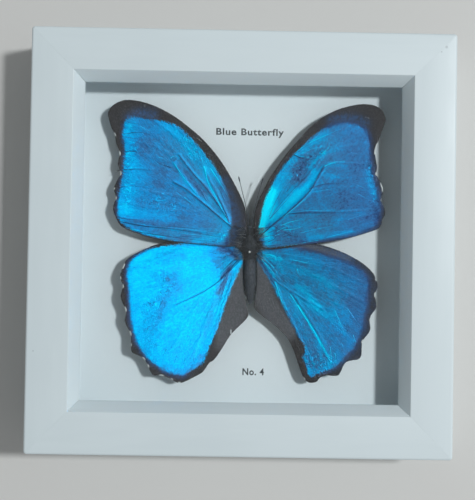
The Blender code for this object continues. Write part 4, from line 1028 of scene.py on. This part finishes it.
def wingPiece(name, wing, material):
    # both skins: place(s, t) = hub + (outline(s) - hub) * t, finely above and coarsely below
    w = wingShape
    columns, rings = w["columns"], w["rings"]
    outline = smoothPath(np.array(wing["outline"]) * mm, columns, closed=True)
    x, y = outline.T
    if np.sum(x * np.roll(y, -1) - np.roll(x, -1) * y) < 0:
        outline = outline[::-1]
    turn = np.linspace(0, 2 * np.pi, columns, endpoint=False)
    ragged = sum(np.sin(turn * k + rng.uniform(0, 6.28)) for k in (61, 83, 107, 131, 157)) / 5
    ahead = np.roll(outline, -1, axis=0) - np.roll(outline, 1, axis=0)
    outward = np.stack([ahead[:, 1], -ahead[:, 0]], -1) / np.linalg.norm(ahead, axis=1)[:, None]
    outline = outline + outward * (ragged * w["margin"])[:, None]
    hub = outline.mean(axis=0)

    def skin(steps):
        return (hub + (outline - hub) * np.asarray(steps)[:, None, None]).reshape(-1, 2)

    upper = np.concatenate([skin(np.linspace(1, 1 / rings, rings)), hub[None]])
    lowerSteps = [1, 0.97, 0.85, 0.7, 0.55, 0.4, 0.25, 0.1]
    lower = np.concatenate([skin(lowerSteps), hub[None]])
    upperZ = wingHeight(upper, wing) + w["skin"] * np.where(np.arange(len(upper)) < columns, 0.4, 1) + \
        wingRelief(upper, wing) * (np.arange(len(upper)) >= columns)
    lowerZ = wingHeight(lower, wing) - w["skin"] * np.where(np.arange(len(lower)) < columns, 0.4, 1)
    points = np.concatenate([np.c_[upper, upperZ], np.c_[lower, lowerZ]])
    faces = gridFaces(rings, columns)
    start = len(upper)
    lowerFaces = [[start + corner for corner in face[::-1]] for face in gridFaces(len(lowerSteps), columns)]
    ring = np.arange(columns)
    after = (ring + 1) % columns
    rim = np.stack([ring, start + ring, start + after, after], -1).tolist()
    last = (rings - 1) * columns
    fan = np.stack([last + ring, last + after, np.full(columns, start - 1)], -1).tolist()
    low = start + (len(lowerSteps) - 1) * columns
    lowerFan = np.stack([low + after, low + ring, np.full(columns, len(points) - 1)], -1).tolist()
    values = wingValues(points[:, :2], wing)
    values["under"] = (np.arange(len(points)) >= start).astype(float)
    makePiece(name, points, faces + fan + rim + lowerFaces + lowerFan, material, [wing["node"]],
              values=values)


def veinPiece(name, wing, material):
    # each vein or fold is a tapering tube, half sunk in the skin, with its own change of tone: darker along a
    # vein; along a fold a painted glint where the tone rises and painted shade where it falls
    parts, changes = [], []
    width, strength = wingShape["foldWidth"], wingShape["foldStrength"]
    lines = [(radius, -wingShape["veinDark"] * radius, path) for radius, path in wing["veins"]]
    lines += [(width * radius, strength * change, path) for radius, change, path in wing["folds"]]
    for radius, change, path in lines:
        route = smoothPath(np.array(path) * mm, 8 * len(path))
        z = wingHeight(route, wing) + wingRelief(route, wing) + 0.25 * radius * mm
        taper = np.linspace(1.0, 0.35, len(route)) * radius * mm
        taper[[0, -1]] *= 0.3
        parts.append(tube(np.c_[route, z], taper, 7))
        changes.append(np.full(len(parts[-1][0]), change))
    points, faces = joined(parts)
    values = wingValues(points[:, :2], wing)
    values["tone"] += np.concatenate(changes)
    values["under"] = np.zeros(len(points))
    makePiece(name, points, faces, material, values=values)


def wingMaterial():
    # overlapping scales: a metal-like blue field with streaks along the veins, and a dusty dark border; the
    # blue's tone carries painted highlight and painted shade
    c = wingColor
    material, tree, shader, place = startMaterial("wingScales", 0.5, Specular_IOR_Level=0.35)
    flow = addNode(tree, "Attribute", attribute_name="flow").outputs["Vector"]
    streak = addNode(tree, "TexNoise", {"Vector": flow, "Scale": 1.0, "Detail": 3.0}).outputs["Fac"]
    fineStreak = addNode(tree, "TexNoise", {"Vector": flow, "Scale": 3.2, "Detail": 3.0}).outputs["Fac"]
    cloud = noise(tree, place, 90, 3)
    dust = noise(tree, place, 1800, 3)
    scales = noise(tree, place, 4200, 1)
    speck = noise(tree, place, 760, 3)
    hair = addNode(tree, "TexNoise", {"Vector": flow, "Scale": 7.0, "Detail": 2.0}).outputs["Fac"]
    hairline = spread(tree, hair, 0.60, 0.68)
    folded = addNode(tree, "TexNoise", {"Vector": place, "Scale": 260.0, "Detail": 2.0, "Distortion": 1.2})
    crease = math2(tree, "ABSOLUTE", math2(tree, "SUBTRACT", folded.outputs["Fac"], 0.5), 0.0)
    crease = math2(tree, "MULTIPLY", spread(tree, crease, 0.0, 0.035, 1.0, 0.0), attribute(tree, "crinkle"))

    ragged = math2(tree, "ADD", math2(tree, "MULTIPLY", fineStreak, 3.2), math2(tree, "MULTIPLY", dust, 2.6))
    depth = math2(tree, "ADD", attribute(tree, "edge"), math2(tree, "SUBTRACT", ragged, 2.9))
    blueMask = spread(tree, depth, -0.45, 0.55)

    detail = 0.0
    for value, amount in zip((streak, fineStreak, cloud, dust, speck), c["toneDetail"]):
        swing = math2(tree, "SUBTRACT", value, 0.5)
        detail = math2(tree, "ADD", detail, math2(tree, "MULTIPLY", swing, amount))
    detail = math2(tree, "SUBTRACT", detail, math2(tree, "MULTIPLY", hairline, c["hairline"]))
    detail = math2(tree, "MULTIPLY", detail, attribute(tree, "grain"))
    tone = math2(tree, "ADD", attribute(tree, "tone"), detail)
    # painted glints and painted shade along the crinkles, in tone
    creaseTone = spread(tree, speck, 0.38, 0.62, -0.25, 0.5)
    tone = math2(tree, "ADD", tone, math2(tree, "MULTIPLY", crease, creaseTone))
    top = c["brightest"]
    stops = [(position / top, color) for position, color in c["blue"]]
    blue = ramp(tree, math2(tree, "DIVIDE", tone, top), stops)
    # painted reflection: a cyan cast where "teal" is set
    shifted = {0: attribute(tree, "teal"), 6: blue, 7: (*c["tealShift"], 1)}
    blue = addNode(tree, "Mix", shifted, data_type="RGBA", blend_type="MULTIPLY").outputs[2]

    border = mixColor(tree, spread(tree, dust, 0.42, 0.68), (*c["border"], 1), (*c["borderDust"], 1))
    brown = mixColor(tree, spread(tree, dust, 0.4, 0.66), (*c["brown"], 1), (*c["brownDust"], 1))
    border = mixColor(tree, spread(tree, attribute(tree, "brown"), 0.25, 0.75), border, brown)
    glow = math2(tree, "MULTIPLY", spread(tree, depth, -2.2, 0.0), attribute(tree, "margin"))
    border = mixColor(tree, glow, border, (*c["edgeGlow"], 1))
    hazeAmount = math2(tree, "MULTIPLY", attribute(tree, "haze"), spread(tree, speck, 0.2, 0.8, 0.1, 0.9))
    border = mixColor(tree, hazeAmount, border, (*c["haze"], 1))
    blue = mixColor(tree, math2(tree, "MULTIPLY", hazeAmount, c["hazeOverBlue"]), blue, (*c["haze"], 1))
    color = mixColor(tree, blueMask, border, blue)
    dusted = math2(tree, "ADD", attribute(tree, "white"), math2(tree, "MULTIPLY", dust, 0.3))
    white = spread(tree, dusted, 0.5, 0.85)
    color = mixColor(tree, white, color, (*c["fringe"], 1))
    under = mixColor(tree, spread(tree, cloud, 0.35, 0.65), (*c["under"], 1), (*c["borderDust"], 1))
    color = mixColor(tree, attribute(tree, "under"), color, under)
    tree.links.new(color, shader.inputs["Base Color"])

    upperOnly = math2(tree, "SUBTRACT", 1.0, math2(tree, "MAXIMUM", attribute(tree, "under"), white))
    shiny = math2(tree, "MULTIPLY", blueMask, upperOnly)
    tree.links.new(math2(tree, "MULTIPLY", shiny, c["metallic"]), shader.inputs["Metallic"])
    low, high = c["blueRoughness"]
    gloss = spread(tree, streak, 0.3, 0.7, low, high)
    rough = addNode(tree, "Mix", {0: shiny, 2: c["borderRoughness"], 3: gloss}).outputs[0]
    tree.links.new(rough, shader.inputs["Roughness"])

    height = attribute(tree, "lift")
    for value, amount in zip((fineStreak, scales, streak, dust, crease), c["bumpDetail"]):
        height = math2(tree, "ADD", height, math2(tree, "MULTIPLY", value, amount))
    addBump(tree, shader, height, c["bumpDepth"], 1.0)
    return material


def buildWings():
    # each wing is a sheet with its veins and folds on it
    material = wingMaterial()
    for label, wing in (("forewing_left", foreLeft), ("forewing_right", foreRight),
                        ("hindwing_left", hindLeft), ("hindwing_right", hindRight)):
        wingPiece("scaled_" + label, wing, material)
        veinPiece("veins_" + label, wing, material)
    print("wings: four scaled sheets with their veins")


insect = {
    "stations": [                # y, middle x, half width, half height
        (8.6, 4.0, 0.5, 0.5), (8.2, 4.0, 1.1, 1.1), (7.4, 4.0, 1.6, 1.6), (6.4, 4.0, 1.8, 1.8),
        (5.2, 4.0, 1.6, 1.7), (4.3, 4.0, 1.45, 1.5), (3.2, 4.0, 2.5, 2.3), (1.2, 4.1, 3.5, 2.8),
        (-1.5, 4.1, 3.6, 2.9), (-4, 4.1, 2.9, 2.5), (-5.6, 4.2, 2.1, 2.1), (-8, 4.3, 2.5, 2.5),
        (-13, 4.4, 2.9, 2.9), (-19, 4.5, 2.8, 2.7), (-24, 4.6, 2.1, 2.0), (-27.5, 4.7, 1.25, 1.25),
        (-29.1, 4.7, 0.45, 0.45)],
    "rings": 150,
    "sides": 40,
    "segments": 7,               # rings of the abdomen
    "segmentDepth": 0.16,
    "shell": (0.055, 0.062, 0.074),
    "fur": (0.060, 0.064, 0.068),
    "furTip": (0.13, 0.14, 0.15),
    "eye": (0.018, 0.014, 0.012),
    "hairs": 3800,
    "rootHairs": 420,            # on each side
    "paleHairs": 0.12,
    "paleHair": (0.42, 0.47, 0.50),
    "hairLength": 1.5 * mm,
    "hairRadius": 0.055 * mm,
    "rootHairRadius": 0.045 * mm,
    "antennaRadius": 0.20,
    "clubRadius": 0.40,
    "antennaLeft": [(3.3, 9.2, 24.1), (2.9, 12.5, 24.9), (2.3, 16, 25.3), (1.2, 20.5, 25.5), (0, 25, 25.6),
                    (-1.9, 32.3, 25.4)],
    "antennaRight": [(4.8, 9.2, 24.1), (5.3, 13, 24.9), (6.1, 17, 25.2), (7.2, 21.5, 25.4), (8.4, 26, 25.4),
                     (10, 32, 25.2)],
}


def bodyPiece(material):
    # ellipses of the stations' size along the body; the abdomen swells between its segment joints
    b = insect
    stations = smoothPath(b["stations"], b["rings"])
    y, x, halfWidth, halfHeight = stations.T
    along = (y + 6) / -23 * b["segments"]
    arch = np.abs(np.sin(np.pi * np.clip(along, 0, b["segments"]))) ** 0.5
    groove = b["segmentDepth"] * arch - b["segmentDepth"]
    swell = np.where(y < -6, groove, 0)
    angle = 2 * np.pi * np.arange(b["sides"]) / b["sides"]
    wide = np.maximum(halfWidth + swell, 0.2)[:, None] * np.cos(angle)
    tall = np.maximum(halfHeight + swell, 0.2)[:, None] * np.sin(angle)
    rings = np.stack([x[:, None] + wide, np.broadcast_to(y[:, None], wide.shape), bodyZ / mm + tall], -1)
    ends = np.array([[x[0], y[0] + 0.1, bodyZ / mm], [x[-1], y[-1] - 0.1, bodyZ / mm]])
    points = np.concatenate([rings.reshape(-1, 3), ends]) * mm
    faces = [face[::-1] for face in gridFaces(b["rings"], b["sides"], poles=True)]
    makePiece("butterfly_body", points, faces, material, ["body"])


def eyePieces(material):
    # two domes on the sides of the head: radius * (cos, sin) over latitude and longitude
    rings, sides, radius = 12, 20, 0.85 * mm
    latitude = np.linspace(-0.49, 0.49, rings)[:, None] * np.pi
    longitude = 2 * np.pi * np.arange(sides)[None, :] / sides
    ball = np.stack([np.cos(latitude) * np.cos(longitude), np.cos(latitude) * np.sin(longitude),
                     np.sin(latitude) * np.ones_like(longitude)], -1).reshape(-1, 3) * radius
    ball = np.concatenate([ball, [[0, 0, -radius], [0, 0, radius]]])
    faces = gridFaces(rings, sides, poles=True)
    parts = [(ball * [0.9, 1.1, 1] + [x * mm, 7.0 * mm, bodyZ + 0.4 * mm], faces) for x in (2.5, 5.5)]
    points, faces = joined(parts)
    makePiece("eyes", points, faces, material)


def hairPiece(name, root, lean, length, droop, thickness, light, material):
    # each hair a three-sided cone bent once: root, root + lean * length / 2, root + (lean + droop) * length
    count = len(root)
    lean = lean / np.linalg.norm(lean, axis=1)[:, None]
    middle = root + lean * length[:, None] * 0.5
    tip = root + (lean + droop) * length[:, None]
    across = np.cross(lean, [0.3, 0.2, 0.9])
    across /= np.linalg.norm(across, axis=1)[:, None]
    other = np.cross(lean, across)
    sides = np.array([0, 2, 4]) * np.pi / 3
    cosine, sine = np.cos(sides)[None, :, None], np.sin(sides)[None, :, None]
    around = cosine * across[:, None, :] + sine * other[:, None, :]
    low = root[:, None, :] + around * thickness
    mid = middle[:, None, :] + around * 0.75 * thickness
    points = np.concatenate([low, mid, tip[:, None, :]], axis=1).reshape(-1, 3)
    base = 7 * np.arange(count)[:, None, None]
    triangles = np.array([[0, 2, 1], [3, 4, 6], [4, 5, 6], [5, 3, 6]])
    quads = np.array([[0, 1, 4, 3], [1, 2, 5, 4], [2, 0, 3, 5]])
    faces = (base + triangles).reshape(-1, 3).tolist() + (base + quads).reshape(-1, 4).tolist()
    tips = np.tile([0, 0, 0, 0.5, 0.5, 0.5, 1], count)
    makePiece(name, points, faces, material, values={"tip": tips, "light": np.repeat(light, 7)})


def furPiece(material):
    # short hairs all over the upper half of the body, leaning back and out; shorter on the abdomen
    b = insect
    count = b["hairs"]
    stations = smoothPath(b["stations"], b["rings"])
    ordered = stations[np.argsort(stations[:, 0])]
    y = rng.uniform(-27, 7.8, count)
    y[::2] = rng.uniform(-7.5, 7.8, len(y[::2]))
    x, halfWidth, halfHeight = (np.interp(y, ordered[:, 0], ordered[:, k]) for k in (1, 2, 3))
    angle = rng.uniform(-0.2, np.pi + 0.2, count)
    normal = np.stack([np.cos(angle) / halfWidth, np.zeros(count), np.sin(angle) / halfHeight], -1)
    normal /= np.linalg.norm(normal, axis=1)[:, None]
    z = bodyZ / mm + halfHeight * np.sin(angle) * 0.97
    root = np.stack([x + halfWidth * np.cos(angle) * 0.97, y, z], -1) * mm
    lean = normal + np.stack([0.3 * np.cos(angle), np.full(count, -0.9), np.zeros(count)], -1)
    lean += rng.normal(0, 0.35, (count, 3))
    length = b["hairLength"] * rng.uniform(0.5, 1.2, count) * np.where(y < -7, 0.7, 1)
    hairPiece("body_fur", root, lean, length, [0, -0.25, -0.15], b["hairRadius"], np.zeros(count), material)


def rootHairPiece(side, material):
    # long hairs from the side of the thorax, lying over the wing root; a few are pale
    b = insect
    count = b["rootHairs"]
    y = rng.uniform(-7.5, 7.5, count)
    start = rng.uniform(1.5, 5.5, count)
    z = forewingZ / mm + np.where(y < -2, -0.3, 0.25) + rng.uniform(0, 0.5, count)
    root = np.stack([bodyX / mm + side * start, y, z], -1) * mm
    along = rng.normal(0, 0.35, count) + y * 0.06
    lean = np.stack([side * np.ones(count), along, rng.normal(0.02, 0.04, count)], -1)
    length = rng.uniform(1.5, 4.5, count) * mm
    light = (rng.uniform(0, 1, count) < b["paleHairs"]).astype(float)
    name = "root_hair_" + ("left" if side < 0 else "right")
    hairPiece(name, root, lean, length, [0, 0, -0.05], b["rootHairRadius"], light, material)


def antennaPiece(side, material):
    # a ringed tube that swells slightly at each joint and thickens to a club at its end
    b = insect
    route = smoothPath(b["antenna" + side], 160)
    t = np.linspace(0, 1, len(route))
    swell = (b["clubRadius"] - b["antennaRadius"]) * smoothStep((t - 0.86) / 0.08)
    club = b["antennaRadius"] * (1 - 0.35 * t) + swell
    radii = club * (1 + 0.10 * np.sin(t * 2 * np.pi * 38)) * np.sqrt(np.clip((1 - t) / 0.03, 0.05, 1))
    points, faces = tube(route * mm, radii * mm, 10)
    makePiece("feeler_" + side.lower(), points, faces, material, ["antenna_" + side.lower()])


def buildBody():
    # looks of the shell, the fur and the eyes, then their pieces
    b = insect
    shell, tree, shader, place = startMaterial("bodyShell", 0.8, Specular_IOR_Level=0.25)
    rows = noise(tree, place, 1500, 3, (1, 0.5, 1))
    dull = tuple(1.9 * part for part in b["shell"])
    tree.links.new(mixColor(tree, spread(tree, rows, 0.38, 0.65), (*b["shell"], 1), (*dull, 1)),
                   shader.inputs["Base Color"])
    tree.links.new(spread(tree, rows, 0.3, 0.7, 0.7, 0.9), shader.inputs["Roughness"])
    addBump(tree, shader, rows, 0.10 * mm, 0.8)

    fur, tree, shader, place = startMaterial("bodyFur", 0.7, Specular_IOR_Level=0.3)
    clump = noise(tree, place, 700, 2)
    tip = math2(tree, "ADD", attribute(tree, "tip"), math2(tree, "SUBTRACT", clump, 0.5))
    color = mixColor(tree, spread(tree, tip, 0.1, 1.1), (*b["fur"], 1), (*b["furTip"], 1))
    color = mixColor(tree, attribute(tree, "light"), color, (*b["paleHair"], 1))
    tree.links.new(color, shader.inputs["Base Color"])

    eye, tree, shader, place = startMaterial("eyes", 0.25)
    facets = addNode(tree, "TexVoronoi", {"Vector": place, "Scale": 9000.0}).outputs["Distance"]
    tree.links.new(mixColor(tree, spread(tree, facets, 0.1, 0.6), (*b["eye"], 1), (0.05, 0.035, 0.025, 1)),
                   shader.inputs["Base Color"])
    addBump(tree, shader, facets, 0.01 * mm, 0.5)

    bodyPiece(shell)
    eyePieces(eye)
    furPiece(fur)
    rootHairPiece(-1, fur)
    rootHairPiece(1, fur)
    antennaPiece("Left", shell)
    antennaPiece("Right", shell)
    print("body: shell, fur, eyes and feelers")


studio = {
    "floor": (0.66, 0.65, 0.63),
    "floorHalf": 2.0,
    "floorDrop": 0.2 * mm,       # just clear of the frame's rear rim
    "cameraPlace": (-0.0061, -0.0128, 0.490),
    "cameraTurn": (1.18, -0.55, 0.97),       # degrees
    "lens": 69.42,
    "keyPlace": (1.03, 0.312, 1.974),
    "keySize": 0.22,
    "keyPower": 29.5,
    "keyColor": (0.95, 0.985, 1.0),
    "skyColor": (0.94, 0.98, 1.0),
    "skyOverhead": 0.05,
    "skySides": 0.46,
    "skyFall": 0.16,             # how much dimmer it is overhead than at the sides
    "skyRightMore": 0.35,
    "skyFrontMore": 0.15,
}


def aimed(kind, name, place, size, power, color):
    # an area lamp turned so that its axis passes through the middle of the frame's face
    data = bpy.data.lights.new(name, "AREA")
    data.shape = kind
    data.size = size
    data.energy = power
    data.color = color
    lamp = bpy.data.objects.new(name, data)
    lamp.location = place
    x, y, z = place[0], place[1], place[2] - faceZ
    lamp.rotation_euler = (math.atan2(math.hypot(x, y), z), 0, math.atan2(x, -y))
    bpy.context.scene.collection.objects.link(lamp)


def buildStudio():
    # pale floor, camera above, one soft key and a sky: (sides - fall * z) * (1 + right * x - front * y)
    s = studio
    material, tree, shader, place = startMaterial("paleFloor", 0.8)
    cloud = noise(tree, place, 6, 3)
    tree.links.new(mixColor(tree, cloud, (*s["floor"], 1), tuple(0.97 * part for part in s["floor"]) + (1,)),
                   shader.inputs["Base Color"])
    mesh = bpy.data.meshes.new("floor")
    half, z = s["floorHalf"], -s["floorDrop"]
    corners = [(-half, -half, z), (half, -half, z), (half, half, z), (-half, half, z)]
    mesh.from_pydata(corners, [], [(0, 1, 2, 3)])
    mesh.materials.append(material)
    floor = bpy.data.objects.new("floor", mesh)
    bpy.context.scene.collection.objects.link(floor)

    data = bpy.data.cameras.new("camera")
    data.lens = s["lens"]
    data.sensor_width = 36
    data.clip_start = 0.01
    camera = bpy.data.objects.new("camera", data)
    camera.location = s["cameraPlace"]
    camera.rotation_euler = Euler([math.radians(part) for part in s["cameraTurn"]])
    bpy.context.scene.collection.objects.link(camera)
    bpy.context.scene.camera = camera

    aimed("DISK", "keyLamp", s["keyPlace"], s["keySize"], s["keyPower"], s["keyColor"])
    world = bpy.data.worlds.new("studio")
    world.use_nodes = True
    tree = world.node_tree
    toward = addNode(tree, "SeparateXYZ", {0: addNode(tree, "TexCoord").outputs["Generated"]}).outputs
    dome = math2(tree, "SUBTRACT", s["skySides"], math2(tree, "MULTIPLY", toward["Z"], s["skyFall"]))
    overhead = spread(tree, toward["Z"], 0.90, 0.965)
    soft = addNode(tree, "Mix", {0: overhead, 2: dome, 3: s["skyOverhead"]}).outputs[0]
    side = math2(tree, "ADD", math2(tree, "MULTIPLY", toward["X"], s["skyRightMore"]), 1.0)
    front = math2(tree, "SUBTRACT", side, math2(tree, "MULTIPLY", toward["Y"], s["skyFrontMore"]))
    sky = tree.nodes["Background"]
    sky.inputs["Color"].default_value = (*s["skyColor"], 1)
    tree.links.new(math2(tree, "MULTIPLY", soft, front), sky.inputs["Strength"])
    bpy.context.scene.world = world
    bpy.context.scene.view_settings.view_transform = "Standard"
    print("studio: floor, camera and lamps")


buildStudio()
buildFrame()
buildFilling()
buildCaptions()
buildWings()
buildBody()
